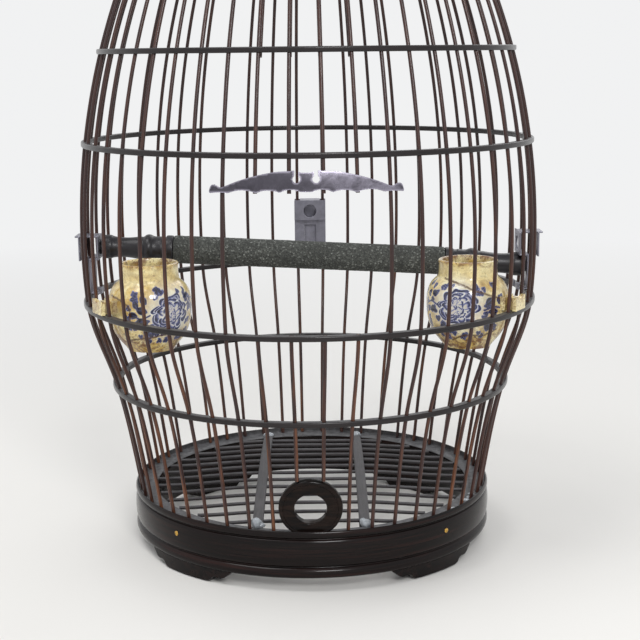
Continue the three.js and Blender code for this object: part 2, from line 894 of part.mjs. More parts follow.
// Pots
const lugBottom = potHoopTop + clearance;
const lugOuterRadius = potHoopBarRadius + lugReach;
const potBottomHeight = lugBottom - lugRise;
const potCentreRadius = potHoopBarRadius - hoopWidth / 2 - potStandoff - potBodyRadius;

function pot() {
  const outside = potOutlineShares.map(([out, up]) => [
    out * potBodyRadius,
    potBottomHeight + up * potHeight,
  ]);
  const inside = outside.map(([radius, height]) => [radius - potWall, height]).reverse();
  inside[inside.length - 1][1] = potBottomHeight + potWall;
  const profile = [[0, potBottomHeight], ...outside, ...inside, [0, potBottomHeight + potWall]];
  const bowl = turned(profile, potSides).translate(0, -potCentreRadius, 0);
  const lugStart = potCentreRadius + potBodyRadius - potWall;
  const lugTop = lugBottom + lugHeight;
  const lug = block([lugStart, lugOuterRadius], [-lugWidth / 2, lugWidth / 2], [lugBottom, lugTop]);
  const grooveOutline = new THREE.Shape([
    new THREE.Vector2(0, lugTop - lugGrooveDepth),
    new THREE.Vector2(lugGrooveWidth / 2, lugTop),
    new THREE.Vector2(lugGrooveWidth / 2, lugTop + cutOverrun),
    new THREE.Vector2(-lugGrooveWidth / 2, lugTop + cutOverrun),
    new THREE.Vector2(-lugGrooveWidth / 2, lugTop),
  ]);
  const grooveStart = potCentreRadius + potBodyRadius + clearance;
  const grooveDepth = lugOuterRadius - grooveStart + cutOverrun;
  const groove = new THREE.ExtrudeGeometry(grooveOutline, { depth: grooveDepth, bevelEnabled: false })
    .rotateX(Math.PI / 2)
    .translate(0, -grooveStart, 0);
  return cut(joined([bowl, lug]), [groove]);
}

// Assembly
const cage = new THREE.Group();

function place(parent, name, geometry, material, azimuth = 0) {
  const mesh = new THREE.Mesh(geometry, material);
  mesh.name = name;
  mesh.rotation.z = azimuth;
  parent.add(mesh);
  return mesh;
}

function numbered(name, index) {
  return `${name}_${String(index + 1).padStart(2, "0")}`;
}

place(cage, "base_ring", baseRing(), lacqueredWood);
const footGeometry = cloudFoot();
const footNames = ["foot_front_right", "foot_rear_right", "foot_rear_left", "foot_front_left"];
footNames.forEach((name, i) => place(cage, name, footGeometry, lacqueredWood, footAzimuths[i]));

const battenGeometry = batten();
place(cage, "floor_batten_left", battenGeometry, paleBamboo).position.x = -battenOffset;
place(cage, "floor_batten_right", battenGeometry, paleBamboo).position.x = battenOffset;
rodPlaces.forEach((y, i) => place(cage, numbered("floor_rod", i), floorRod(y), paleBamboo));

const barGroupGeometry = barGroup();
for (let i = 1; i < barCount / barsPerGroup; i += 1) {
  place(cage, numbered("wall_bars", i - 1), barGroupGeometry, bamboo, i * groupPitch);
}
place(cage, "crown_bars", crownBarGroup(), bamboo);

place(cage, "hoop_top", hoop(topHoopHeight, wallAzimuths, barCount / 2, topHoopLean), bamboo);
place(cage, "hoop_upper", hoop(upperHoopHeight, allAzimuths, barCount, 0), bamboo);
place(cage, "hoop_door", hoop(doorHoopHeight, allAzimuths, barCount, 0), bamboo);
place(cage, "hoop_pot", hoop(potHoopHeight, allAzimuths, barCount, 0), bamboo);
place(cage, "hoop_waist", hoop(waistHoopHeight, allAzimuths, barCount, 0), bamboo);

place(cage, "ring_port", portRing(), lacqueredWood);
groupAzimuths.forEach((azimuth, i) => {
  place(cage, numbered("lower_bar", i), shortBar(azimuth), bamboo);
});

place(cage, "door_plate", doorPlate(), doorMetal);
groupAzimuths.forEach((azimuth, i) => {
  place(cage, numbered("door_bar", i), doorBar(azimuth), bamboo);
});

place(cage, "crown_plate", crownPlate(), lacqueredWood);
place(cage, "crown_cap", crownCap(), lacqueredWood);
place(cage, "hook_ferrule", ferrule(), hookMetal);
place(cage, "hook_nut", hookNut(), hookMetal);
place(cage, "hook", hook(), hookMetal);

const bracketGeometry = bracket(0);
place(cage, "bracket_left", bracketGeometry, sheetMetal, -Math.PI / 2);
place(cage, "bracket_right", bracketGeometry, sheetMetal, Math.PI / 2);
place(cage, "bracket_rear", bracket(rearBracketLift), sheetMetal, Math.PI);

const perch = new THREE.Group();
perch.position.copy(perchMiddle);
perch.quaternion.setFromUnitVectors(upAxis, perchDirection);
place(perch, "perch_core", perchCore(), grit);
place(perch, "perch_end_right", perchEnd(perchRightReach, rightTenonTip), lacqueredWood);
place(perch, "perch_end_left", perchEnd(perchLeftReach, leftTenonTip), lacqueredWood).rotation.x =
  Math.PI;
cage.add(perch);

const potGeometry = pot();
place(cage, "pot_left", potGeometry, glaze, -potAzimuth);
place(cage, "pot_right", potGeometry, glaze, potAzimuth);

export default cage;
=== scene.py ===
"""A round songbird cage of split bamboo, laid out as an add-on and run as a script.

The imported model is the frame: metres, +Z up, the ground at z = 0, the door at -Y. An azimuth
is counted from the door towards +X. Every piece is worked out as arrays of points in place.
"""

import math

import bmesh
import bpy
import numpy as np
from mathutils import Matrix, Vector, geometry


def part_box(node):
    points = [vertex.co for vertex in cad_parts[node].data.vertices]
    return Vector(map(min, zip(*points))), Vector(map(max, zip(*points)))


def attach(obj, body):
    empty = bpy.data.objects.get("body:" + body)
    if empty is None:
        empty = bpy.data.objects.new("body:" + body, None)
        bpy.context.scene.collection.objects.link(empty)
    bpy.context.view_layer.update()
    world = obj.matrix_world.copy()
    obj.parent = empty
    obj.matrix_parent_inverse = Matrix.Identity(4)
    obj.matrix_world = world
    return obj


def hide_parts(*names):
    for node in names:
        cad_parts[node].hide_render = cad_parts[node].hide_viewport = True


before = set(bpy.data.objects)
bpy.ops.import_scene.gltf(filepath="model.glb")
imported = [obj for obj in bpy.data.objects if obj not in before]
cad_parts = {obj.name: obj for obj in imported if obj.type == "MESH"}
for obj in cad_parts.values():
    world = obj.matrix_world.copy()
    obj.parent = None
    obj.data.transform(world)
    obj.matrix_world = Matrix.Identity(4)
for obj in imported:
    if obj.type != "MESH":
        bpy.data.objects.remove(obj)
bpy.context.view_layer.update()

bl_info = {
    "name": "Bamboo Birdcage",
    "version": (1, 0, 0),
    "blender": (4, 5, 0),
    "location": "View3D > Sidebar > Birdcage",
    "description": "A songbird cage with drilled hoops, a lifting door, a perch and two glazed pots",
    "category": "Add Mesh",
}

TURN = 2 * math.pi
MM = 0.001

# The bars: forty-eight in all, four to a node, the group at the door split into short ones
BAR_COUNT = 48
BAR_PITCH = TURN / BAR_COUNT
GROUP_AZIMUTHS = (np.arange(4) - 1.5) * BAR_PITCH

# The wall's outline in millimetres, as the frame has it
WALL = {
    "bulge_radius": 156.8,
    "bulge_height": 216.3,
    "side_radius": 465.0,
    "dome_radius": 158.0,
    "dome_start": 400.3,
    "pot_height": 172.6,
    "waist_radius": 137.0,
    "waist_height": 114.6,
    "foot_radius": 121.9,
    "foot_height": 37.5,
    "foot_flare": 0.17,
    "waist_flare": 0.27,
}
BAR_END_RADIUS = 22.4
DOME_LIMIT = 495

# The surround's white, and the distances from the cage between which the floor turns into it
SURROUND_WHITE = (0.88, 0.885, 0.89)
FLOOR_FADE = (0.35, 1.6)


def srgb(red, green, blue):
    """A colour picked from 0 to 255 as the linear values that Blender works in."""
    share = np.array([red, green, blue]) / 255
    linear = np.where(share <= 0.04045, share / 12.92, ((share + 0.055) / 1.055) ** 2.4)
    return tuple(float(value) for value in linear)


# Sizes and colours that a user would change


def length(name, description, millimetres):
    """A size for the panel."""
    return bpy.props.FloatProperty(
        name=name, description=description, default=millimetres * MM, min=0, unit="LENGTH"
    )


def colour(name, description, red, green, blue):
    """A colour for the panel, its parts from 0 to 255."""
    return bpy.props.FloatVectorProperty(
        name=name,
        description=description,
        default=srgb(red, green, blue),
        min=0,
        max=1,
        size=3,
        subtype="COLOR",
    )


class BirdcageSizes(bpy.types.PropertyGroup):
    """Thicknesses and small forms of the pieces."""

    bar_radius: length("Bar Radius", "Half the thickness of a bent bar", 1.25)
    bar_waver: bpy.props.FloatProperty(
        name="Bar Waver",
        description="How far a hand-drawn bar's radius wanders, as a share",
        default=0.035,
        min=0,
        max=0.2,
        subtype="FACTOR",
    )
    hoop_width: length("Hoop Width", "Depth of a hoop from inside to outside", 5.5)
    hoop_thickness: length("Hoop Thickness", "Height of a hoop", 3.5)
    drill_play: length("Drill Play", "Gap between a bar and its hole in a hoop", 0.22)
    plate_thickness: length("Door Plate Thickness", "Thickness of the ornament plate", 1.6)
    plate_bevel: length("Door Plate Bevel", "Softening of the plate's edges", 0.28)
    perch_radius: length("Perch Radius", "Half the thickness of the perch", 9.8)
    grit_height: length("Grit Height", "How far the perch's grains stand out", 0.22)
    pot_wall: length("Pot Wall", "Thickness of the pots' wall", 2.8)
    pin_radius: length("Pin Radius", "Half the width of a brass pin's head", 1.7)


class BirdcageColours(bpy.types.PropertyGroup):
    """Base colours of the finishes."""

    bar_dark: colour("Bar Dark", "Darkest stain of the split bamboo", 36, 24, 25)
    bar_mid: colour("Bar Middle", "Common tone of the split bamboo", 64, 40, 36)
    bar_warm: colour("Bar Warm", "Rubbed stretches of the split bamboo", 108, 66, 42)
    hoop_dark: colour("Hoop Dark", "Darkest stain of the hoops", 18, 14, 15)
    hoop_mid: colour("Hoop Middle", "Common tone of the hoops", 33, 26, 27)
    base_dark: colour("Base Dark", "Darkest grain of the base ring", 9, 7, 7)
    base_mid: colour("Base Middle", "Brown grain of the base ring", 24, 15, 14)
    base_red: colour("Base Red", "Redder streaks of the base ring", 42, 23, 20)
    dust: colour("Dust", "Dust on the ledge and on the hoops", 112, 112, 114)
    grating_mid: colour("Grating", "Floor rods", 52, 46, 49)
    batten_mid: colour("Battens", "Floor battens", 80, 78, 80)
    turned_dark: colour("Turned Wood", "Turned and polished dark wood", 13, 11, 11)
    port_brown: colour("Port Wood", "Brown figure of the port", 36, 25, 20)
    steel: colour("Bracket Steel", "Bent sheet of the brackets", 138, 137, 148)
    lacquer: colour("Black Lacquer", "Turned ends of the perch", 26, 24, 28)
    plate: colour("Door Plate", "Cast metal of the door plate", 92, 89, 98)
    hook: colour("Hook Steel", "Polished steel of the hook", 186, 182, 174)
    brass: colour("Brass", "Heads of the pins in the base", 206, 164, 84)
    glue: colour("Glue", "Clear drops that hold the battens", 200, 206, 212)
    grit: colour("Grit", "Grit coat of the perch", 78, 80, 76)
    glaze: colour("Glaze", "Cream glaze of the pots", 214, 182, 104)
    glaze_pale: colour("Pale Glaze", "Lighter glaze at the pots' lips", 238, 224, 170)
    stain: colour("Glaze Stain", "Brown stains in the glaze", 112, 66, 26)
    cobalt: colour("Cobalt", "Painted flowers and leaves", 32, 44, 96)
    floor: colour("Floor", "Studio floor", 226, 224, 220)


# Curves and arrays


def around(radius, azimuth, height):
    """Points at a radius and height, turned from the door towards +X by the azimuth."""
    radius, azimuth, height = np.broadcast_arrays(radius, azimuth, height)
    return np.stack([radius * np.sin(azimuth), -radius * np.cos(azimuth), height], axis=-1)


def run(path):
    """Length along a path up to each of its points."""
    steps = np.linalg.norm(np.diff(path, axis=0), axis=1)
    return np.concatenate([[0.0], np.cumsum(steps)])


def softened(points, passes, closed=False):
    """Corner cutting: each pass puts two points on every edge, a quarter in from its ends."""
    points = np.asarray(points, float)
    for _ in range(passes):
        start = points if closed else points[:-1]
        end = np.roll(points, -1, axis=0) if closed else points[1:]
        pairs = np.stack([0.75 * start + 0.25 * end, 0.25 * start + 0.75 * end], axis=1)
        cut = pairs.reshape(-1, points.shape[1])
        points = cut if closed else np.concatenate([points[:1], cut, points[-1:]])
    return points


def even(path, count):
    """The same path with its points an even length apart."""
    here = run(path)
    wanted = np.linspace(0, here[-1], count)
    return np.stack([np.interp(wanted, here, axis) for axis in path.T], axis=1)


def circle(radius, count):
    """Points on a circle about the origin: radius times cosine and sine of even angles."""
    angle = np.arange(count) * TURN / count
    return radius * np.stack([np.cos(angle), np.sin(angle)], axis=1)


def rounded_block(width, height, rounding):
    """A rectangle about the origin with quarter circles for corners."""
    angle = np.linspace(0, TURN / 4, 4)
    arc = rounding * np.stack([np.cos(angle), np.sin(angle)], axis=1)
    corners = []
    for quarter in range(4):
        turn = quarter * TURN / 4
        spin = np.array([[math.cos(turn), math.sin(turn)], [-math.sin(turn), math.cos(turn)]])
        side = np.array([width, height]) / 2 - rounding
        signs = np.sign(np.array([math.cos(turn + TURN / 8), math.sin(turn + TURN / 8)]))
        corners.append(arc @ spin + side * signs)
    return np.concatenate(corners)


def ease(value, low, high):
    """Smooth step: nought below low, one above high, a cubic between."""
    share = np.clip((value - low) / (high - low), 0, 1)
    return share * share * (3 - 2 * share)


def swept(path, binormal, section, scale=1.0):
    """A section carried along a plane path.

    A point is the path's point plus the section's first number along the path's normal and its
    second along the constant binormal, both times the scale at that place.
    """
    tangent = np.gradient(path, axis=0)
    tangent /= np.linalg.norm(tangent, axis=1, keepdims=True)
    normal = np.cross(tangent, binormal)
    size = np.broadcast_to(scale, len(path))[:, None, None]
    out = section[None, :, :1] * normal[:, None] + section[None, :, 1:] * np.asarray(binormal)
    return path[:, None] + size * out


def turned(profile, steps, seat=None):
    """A profile of radius and height turned about an axis.

    The axis is Z, or the seat's third direction through its point. The seam is at the rear.
    """
    profile = np.asarray(profile, float)
    angle = np.pi + np.arange(steps) * TURN / steps
    points = around(profile[:, :1], angle[None], profile[:, 1:])
    if seat is None:
        return points
    place, across, deep, up = seat
    return place + points @ np.stack([across, deep, up])


def wall_outline(height):
    """Radius and lean of the bars' centre line at a height, in millimetres and radians.

    Below the pot hoop two cubics carry the flared foot, above it one arc carries the side and
    a tighter one the dome. The lean is that of the outward normal above the horizon.
    """
    height = np.asarray(height, float)
    centre = WALL["bulge_radius"] - WALL["side_radius"]
    side_lean = np.arcsin((height - WALL["bulge_height"]) / WALL["side_radius"])
    side = centre + WALL["side_radius"] * np.cos(side_lean)
    start_lean = math.asin((WALL["dome_start"] - WALL["bulge_height"]) / WALL["side_radius"])
    inner = WALL["side_radius"] - WALL["dome_radius"]
    dome_centre = centre + inner * math.cos(start_lean)
    dome_height = WALL["bulge_height"] + inner * math.sin(start_lean)
    dome_lean = np.arcsin(np.clip((height - dome_height) / WALL["dome_radius"], -1, 1))
    dome = dome_centre + WALL["dome_radius"] * np.cos(dome_lean)
    pot_lean = math.asin((WALL["pot_height"] - WALL["bulge_height"]) / WALL["side_radius"])
    pot = (centre + WALL["side_radius"] * math.cos(pot_lean), WALL["pot_height"], -math.tan(pot_lean))
    waist = (WALL["waist_radius"], WALL["waist_height"], WALL["waist_flare"])
    foot = (WALL["foot_radius"], WALL["foot_height"], WALL["foot_flare"])
    upper, upper_lean = flare(waist, pot, height)
    lower, lower_lean = flare(foot, waist, height)
    where = [height >= WALL["dome_start"], height >= pot[1], height >= waist[1]]
    radius = np.select(where, [dome, side, upper], lower)
    return radius, np.select(where, [dome_lean, side_lean, upper_lean], lower_lean)


def flare(low, high, height):
    """A cubic from one ring of the wall to the next that has both rings' flare."""
    rise = high[1] - low[1]
    share = (height - low[1]) / rise
    handles = [low[0], low[0] + low[2] * rise / 3, high[0] - high[2] * rise / 3, high[0]]
    rest = 1 - share
    radius = (
        handles[0] * rest**3
        + 3 * handles[1] * share * rest**2
        + 3 * handles[2] * share**2 * rest
        + handles[3] * share**3
    )
    slope = 3 * (
        (handles[1] - handles[0]) * rest**2
        + 2 * (handles[2] - handles[1]) * share * rest
        + (handles[3] - handles[2]) * share**2
    )
    return radius, -np.arctan(slope / rise)


def wall_point(height, azimuth, inset=0.0):
    """A point of the wall in metres, moved in along its normal by the inset."""
    radius, lean = wall_outline(height)
    radius = radius - inset * np.cos(lean)
    return around(radius, azimuth, height - inset * np.sin(lean)) * MM


def dome_top():
    """Height at which the bars end in the crown, where the dome has their end radius."""
    heights = np.linspace(WALL["dome_start"], DOME_LIMIT, 4000)
    radius, _ = wall_outline(heights)
    return float(np.interp(-BAR_END_RADIUS, -radius, heights))


# Meshes

# Points closer than the reach are made one; the shift keeps common numbers off the steps' edges
WELD_REACH = 0.002 * MM
WELD_SHIFT = 0.237


class Skin:
    """One mesh gathered from grids of points, with a UV map and named values on its points."""

    def __init__(self):
        self.points, self.marks = [], []
        self.corners, self.uvs = [], []
        self.sizes, self.shells, self.finishes = [], [], []
        self.total = 0
        self.shell = 0

    def new_shell(self):
        """A number that grids share when they close one shell together."""
        self.shell += 1
        return self.shell

    def patch(self, corners, uvs, size, shell, finish=0):
        """Notes faces of one size, their corners one after the other."""
        self.corners.append(corners)
        self.uvs.append(uvs)
        for noted, value in ((self.sizes, size), (self.shells, shell), (self.finishes, finish)):
            noted.append(np.full(len(corners) // size, value))

    def grid(self, points, closed=(False, True), ends=(False, False), uv=None, **extra):
        """Quads between the rows and columns of an array of points.

        A closed direction joins its last line to its first. An end fills the first or the last
        row with one face. uv holds the numbers along the rows and along the columns. The extra
        values are the shell that the grid belongs to, its finish and the marks on its points.
        """
        rows, columns = points.shape[:2]
        row = np.arange(rows if closed[0] else rows - 1)
        column = np.arange(columns if closed[1] else columns - 1)
        row, column = (index.ravel() for index in np.meshgrid(row, column, indexing="ij"))
        round_quad = [(row, column), (row, column + 1), (row + 1, column + 1), (row + 1, column)]
        quads = [self.total + (r % rows) * columns + c % columns for r, c in round_quad]
        shape = (rows + 1, columns + 1)
        if uv is None:
            uv = [np.linspace(0, 1, lines) for lines in shape]
        along, across = padded_to(uv[0], shape, 0), padded_to(uv[1], shape, 1)
        places = [np.stack([along[r, c], across[r, c]], axis=-1) for r, c in round_quad]
        belongs = (extra.get("shell") or self.new_shell(), extra.get("finish", 0))
        places = np.stack(places, axis=1).reshape(-1, 2)
        self.patch(np.stack(quads, axis=-1).ravel(), places, 4, *belongs)
        line = np.arange(columns)
        for wanted, base, order in ((ends[0], 0, line[::-1]), (ends[1], rows - 1, line)):
            if wanted:
                place = np.stack([along[base, order], across[base, order]], axis=-1)
                self.patch(self.total + base * columns + order, place, columns, *belongs)
        self.marks.append({
            mark: np.broadcast_to(value, (rows, columns)).ravel()
            for mark, value in extra.get("marks", {}).items()
        })
        self.points.append(points.reshape(-1, 3))
        self.total += rows * columns

    def faces(self, points, groups, places, marks):
        """Faces given by their corners, with one UV place and one of each mark for each point."""
        shell = self.new_shell()
        self.marks.append(marks)
        self.points.append(points)
        for group in groups:
            corners = group.ravel()
            self.patch(self.total + corners, places[corners], group.shape[1], shell)
        self.total += len(points)

    def build(self, name, body, makers, replaced, crease=38.0, weld=False):
        """Makes the piece: faces of each closed shell outwards, smooth but for sharp edges."""
        points, corners = np.concatenate(self.points), np.concatenate(self.corners)
        sizes, shells = np.concatenate(self.sizes), np.concatenate(self.shells)
        starts = np.concatenate([[0], np.cumsum(sizes)[:-1]])
        face = np.repeat(np.arange(len(sizes)), sizes)
        place = np.arange(len(corners)) - starts[face]
        following = starts[face] + (place + 1) % sizes[face]
        here, there = points[corners], points[corners[following]]
        area = np.add.reduceat(np.cross(here, there), starts, axis=0)
        middle = np.add.reduceat(here, starts, axis=0) / sizes[:, None]
        volume = np.bincount(shells, np.sum(area * middle, axis=1))
        turned_in = volume[shells] < 0
        backwards = starts[face] + sizes[face] - 1 - place
        source = np.where(turned_in[face], backwards, starts[face] + place)
        corners, uvs = corners[source], np.concatenate(self.uvs)[source]
        values = {}
        for mark in sorted({mark for marks in self.marks for mark in marks}):
            grids = zip(self.marks, self.points)
            each = [marks.get(mark, np.zeros(len(own))) for marks, own in grids]
            values[mark] = np.concatenate(each)
        if weld:
            rounded = np.floor(points / WELD_REACH + WELD_SHIFT).astype(np.int64)
            _, first, merged = np.unique(rounded, axis=0, return_index=True, return_inverse=True)
            points, corners = points[first], merged.ravel()[corners]
            values = {mark: value[first] for mark, value in values.items()}
        mesh = bpy.data.meshes.new(name)
        mesh.vertices.add(len(points))
        mesh.vertices.foreach_set("co", points.astype(np.float32).ravel())
        mesh.loops.add(len(corners))
        mesh.loops.foreach_set("vertex_index", corners.astype(np.int32))
        mesh.polygons.add(len(sizes))
        mesh.polygons.foreach_set("loop_start", starts.astype(np.int32))
        mesh.polygons.foreach_set("material_index", np.concatenate(self.finishes).astype(np.int32))
        mesh.update(calc_edges=True)
        layer = mesh.uv_layers.new(name="Wrap")
        layer.data.foreach_set("uv", uvs.astype(np.float32).ravel())
        for mark, value in values.items():
            layer = mesh.attributes.new(mark, "FLOAT", "POINT")
            layer.data.foreach_set("value", value.astype(np.float32))
        if mesh.validate():
            raise RuntimeError(f"{name} has a face that folds onto itself")
        return placed(name, mesh, body, makers, replaced, crease)


def linked(name, data):
    """A new object in the scene that shows some data."""
    made = bpy.data.objects.new(name, data)
    bpy.context.scene.collection.objects.link(made)
    return made


def placed(name, mesh, body, makers, replaced, crease):
    """A mesh as a finished piece, smooth but for sharp edges, that rides on a body."""
    mesh.polygons.foreach_set("use_smooth", np.ones(len(mesh.polygons), bool))
    mesh.set_sharp_from_angle(angle=math.radians(crease))
    for maker in makers:
        mesh.materials.append(finish_of(maker))
    piece = linked(name, mesh)
    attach(piece, body)
    if replaced:
        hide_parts(*replaced)
    return piece


def padded_to(values, shape, axis):
    """UV numbers for a grid and the one more line that a closed direction needs."""
    values = np.asarray(values, float)
    if values.ndim == 1:
        values = values[:, None] if axis == 0 else values[None]
    missing = [max(0, wanted - have) if have > 1 else 0 for wanted, have in zip(shape, values.shape)]
    values = np.pad(values, [(0, missing[0]), (0, missing[1])], mode="edge")
    return np.broadcast_to(values, shape)


def tube(skin, path, binormal, section, scale=1.0, **extra):
    """A closed tube with flat ends, its UV in metres along and around."""
    points = swept(path, binormal, section, scale)
    girth = run(np.concatenate([section, section[:1]]))
    skin.grid(points, ends=(True, True), uv=(run(path), girth), **extra)


def ring(skin, profile, steps, seat=None, **extra):
    """A closed profile turned right round, its UV in metres round the profile and the axis."""
    profile = np.asarray(profile, float)
    points = turned(profile, steps, seat)
    down = run(np.concatenate([profile, profile[:1]]))
    girth = np.linspace(0, TURN * profile[:, 0].mean(), steps + 1)
    skin.grid(points, closed=(True, True), uv=(down, girth), **extra)


def spindle(skin, profile, steps, seat=None, **extra):
    """An open profile turned right round, with a flat face at each end."""
    profile = np.asarray(profile, float)
    points = turned(profile, steps, seat)
    girth = np.linspace(0, TURN * profile[:, 0].mean(), steps + 1)
    skin.grid(points, ends=(True, True), uv=(run(profile), girth), **extra)


def edged(piece, width, segments=2, angle=35.0):
    """Softens a piece's sharp edges with a bevel."""
    bevel = piece.modifiers.new("Softened Edges", "BEVEL")
    bevel.width = width
    bevel.segments = segments
    bevel.limit_method = "ANGLE"
    bevel.angle_limit = math.radians(angle)
    bevel.harden_normals = True


# Finishes


class Recipe:
    """The nodes of a material or of the world."""

    def __init__(self, owner):
        owner.use_nodes = True
        self.owner = owner
        self.tree = owner.node_tree
        self.tree.nodes.clear()

    def node(self, kind, inputs=None, **settings):
        """A node. An input that is a socket is linked, any other is set on the socket."""
        made = self.tree.nodes.new(kind)
        for key, value in settings.items():
            setattr(made, key, value)
        for key, value in (inputs or {}).items():
            socket = made.inputs[key]
            if isinstance(value, bpy.types.NodeSocket):
                self.tree.links.new(value, socket)
            elif socket.type == "RGBA":
                socket.default_value = (*value, 1)
            else:
                socket.default_value = value
        return made

    def place(self):
        """Object coordinates, in metres."""
        return self.node("ShaderNodeTexCoord").outputs["Object"]

    def wrap(self):
        """The piece's own UV map, in metres along and around."""
        return self.node("ShaderNodeUVMap", uv_map="Wrap").outputs["UV"]

    def mark(self, name):
        """A named value on the points."""
        return self.node("ShaderNodeAttribute", attribute_name=name).outputs["Fac"]

    def facing_up(self):
        """How far the surface faces up, from nought to one."""
        normal = self.node("ShaderNodeNewGeometry").outputs["Normal"]
        return self.node("ShaderNodeSeparateXYZ", {"Vector": normal}).outputs["Z"]

    def height(self):
        """Metres above the ground."""
        return self.node("ShaderNodeSeparateXYZ", {"Vector": self.place()}).outputs["Z"]

    def shifted(self, vector, amount):
        """The vector with an amount added along each axis, so that each bar has its own grain."""
        offset = self.node("ShaderNodeCombineXYZ", {0: amount, 1: amount, 2: amount}).outputs[0]
        return self.node("ShaderNodeVectorMath", {0: vector, 1: offset}, operation="ADD").outputs[0]

    def noise(self, vector, scale, detail=3.0, roughness=0.55, distortion=0.0):
        """Fractal noise."""
        inputs = {"Vector": vector, "Scale": scale, "Detail": detail}
        inputs.update({"Roughness": roughness, "Distortion": distortion})
        return self.node("ShaderNodeTexNoise", inputs).outputs[0]

    def drawn(self, vector, scale, *grades):
        """Noise drawn out by a scale of its own along each axis, as fibres and grain are."""
        mapped = self.node("ShaderNodeMapping", {"Vector": vector, "Scale": scale})
        return self.noise(mapped.outputs["Vector"], 1.0, *grades)

    def cells(self, vector, scale, feature="F1", output="Distance"):
        """Scattered cells: the distance to one's middle or edge, or its own colour."""
        inputs = {"Vector": vector, "Scale": scale}
        return self.node("ShaderNodeTexVoronoi", inputs, feature=feature).outputs[output]

    def ramp(self, value, *stops):
        """Maps a value by straight lines between stops, each a place and a colour."""
        made = self.node("ShaderNodeValToRGB", {"Fac": value})
        elements = made.color_ramp.elements
        elements.remove(elements[1])
        elements[0].position = stops[0][0]
        for number, (place, shown) in enumerate(stops):
            element = elements.new(place) if number else elements[0]
            element.color = (*shown, 1)
        return made.outputs["Color"]

    def between(self, value, low, high, first=0.0, last=1.0):
        """Maps a number from low..high to first..last and clamps it."""
        inputs = {"Value": value, "From Min": low, "From Max": high, "To Min": first, "To Max": last}
        return self.node("ShaderNodeMapRange", inputs).outputs["Result"]

    def maths(self, first, second, operation):
        return self.node("ShaderNodeMath", {0: first, 1: second}, operation=operation).outputs[0]

    def times(self, first, second):
        return self.maths(first, second, "MULTIPLY")

    def plus(self, first, second):
        return self.maths(first, second, "ADD")

    def mix(self, share, first, second):
        """The first colour going over to the second as the share goes from nought to one."""
        inputs = {0: share, 6: first, 7: second}
        return self.node("ShaderNodeMix", inputs, data_type="RGBA").outputs[2]

    def bump(self, height, strength, distance, under=None):
        """A normal tilted by the slope of a height, on top of another one."""
        inputs = {"Height": height, "Strength": strength, "Distance": distance}
        if under is not None:
            inputs["Normal"] = under
        return self.node("ShaderNodeBump", inputs).outputs["Normal"]

    def finish(self, tone, rough, relief, **inputs):
        """Closes the recipe with the shader; a name's underscores stand for spaces."""
        named = {"Base Color": tone, "Roughness": rough, "Normal": relief}
        named.update({key.replace("_", " "): value for key, value in inputs.items()})
        shader = self.node("ShaderNodeBsdfPrincipled", named)
        return self.shown(shader, "ShaderNodeOutputMaterial")

    def shown(self, shader, output):
        """Closes the recipe with a node that stands for its whole surface."""
        self.node(output, {"Surface": shader.outputs[0]})
        return self.owner


# How the shader's upper layers are set for wood that is oiled, polished or waxed
OILED = {"Specular_IOR_Level": 0.32, "Coat_Weight": 0.12, "Coat_Roughness": 0.15}
POLISHED = {"Specular_IOR_Level": 0.1, "Coat_Weight": 0.15, "Coat_Roughness": 0.08}
WAXED = {"Specular_IOR_Level": 0.08, "Coat_Weight": 0.08, "Coat_Roughness": 0.12}


def shaded(colour, share, more=(0, 0, 0)):
    """A colour times a share, with more of each part added, up to white."""
    return tuple(min(1.0, share * part + extra) for part, extra in zip(colour, more))


def finish_of(maker):
    """The finish named for its maker, made the first time that a piece asks for it."""
    name = maker.__name__.replace("_", " ").title()
    known = bpy.data.materials.get(name)
    return known or maker(Recipe(bpy.data.materials.new(name)), bpy.context.scene.birdcage_colours)


def split_bamboo(recipe, colours):
    """Stained and rubbed split bamboo: long fibres, a tone for each bar, warmer lower down."""
    own = recipe.times(recipe.mark("Shade"), 37.0)
    wrap = recipe.shifted(recipe.wrap(), own)
    fibres = recipe.drawn(wrap, (55, 2600, 40), 4, 0.62)
    drift = recipe.drawn(wrap, (14, 90, 9), 3, 0.6)
    worn = recipe.drawn(wrap, (34, 420, 9), 3, 0.65)
    tone = recipe.ramp(fibres, (0.3, colours.bar_dark), (0.62, colours.bar_mid))
    tone = recipe.mix(recipe.between(drift, 0.38, 0.62, 0.0, 0.55), tone, colours.bar_dark)
    low = recipe.between(recipe.height(), 0.04, 0.27, 0.9, 0.16)
    rubbed = recipe.times(recipe.between(worn, 0.42, 0.66), low)
    rubbed = recipe.times(rubbed, recipe.between(recipe.mark("Shade"), 0.1, 0.8, 0.35, 1.25))
    tone = recipe.mix(rubbed, tone, colours.bar_warm)
    rough = recipe.between(fibres, 0.3, 0.7, 0.42, 0.27)
    grooves = recipe.bump(fibres, 0.35, 0.00018)
    return recipe.finish(tone, rough, grooves, **OILED)


def hoop_bamboo(recipe, colours):
    """Dark laminated bamboo with fibres round the hoop and dust on its upper face."""
    wrap = recipe.wrap()
    fibres = recipe.drawn(wrap, (30, 1500, 1), 4, 0.6)
    patches = recipe.noise(recipe.place(), 60, 4, 0.65)
    tone = recipe.ramp(fibres, (0.34, colours.hoop_dark), (0.66, colours.hoop_mid))
    dusty = recipe.times(
        recipe.between(recipe.facing_up(), 0.8, 0.99, 0.0, 0.38),
        recipe.between(patches, 0.34, 0.6, 0.45, 1.0),
    )
    tone = recipe.mix(dusty, tone, colours.dust)
    rough = recipe.plus(recipe.between(dusty, 0, 0.6, 0.24, 0.62), recipe.times(fibres, 0.08))
    grooves = recipe.bump(fibres, 0.3, 0.00015)
    return recipe.finish(tone, rough, grooves, **OILED)


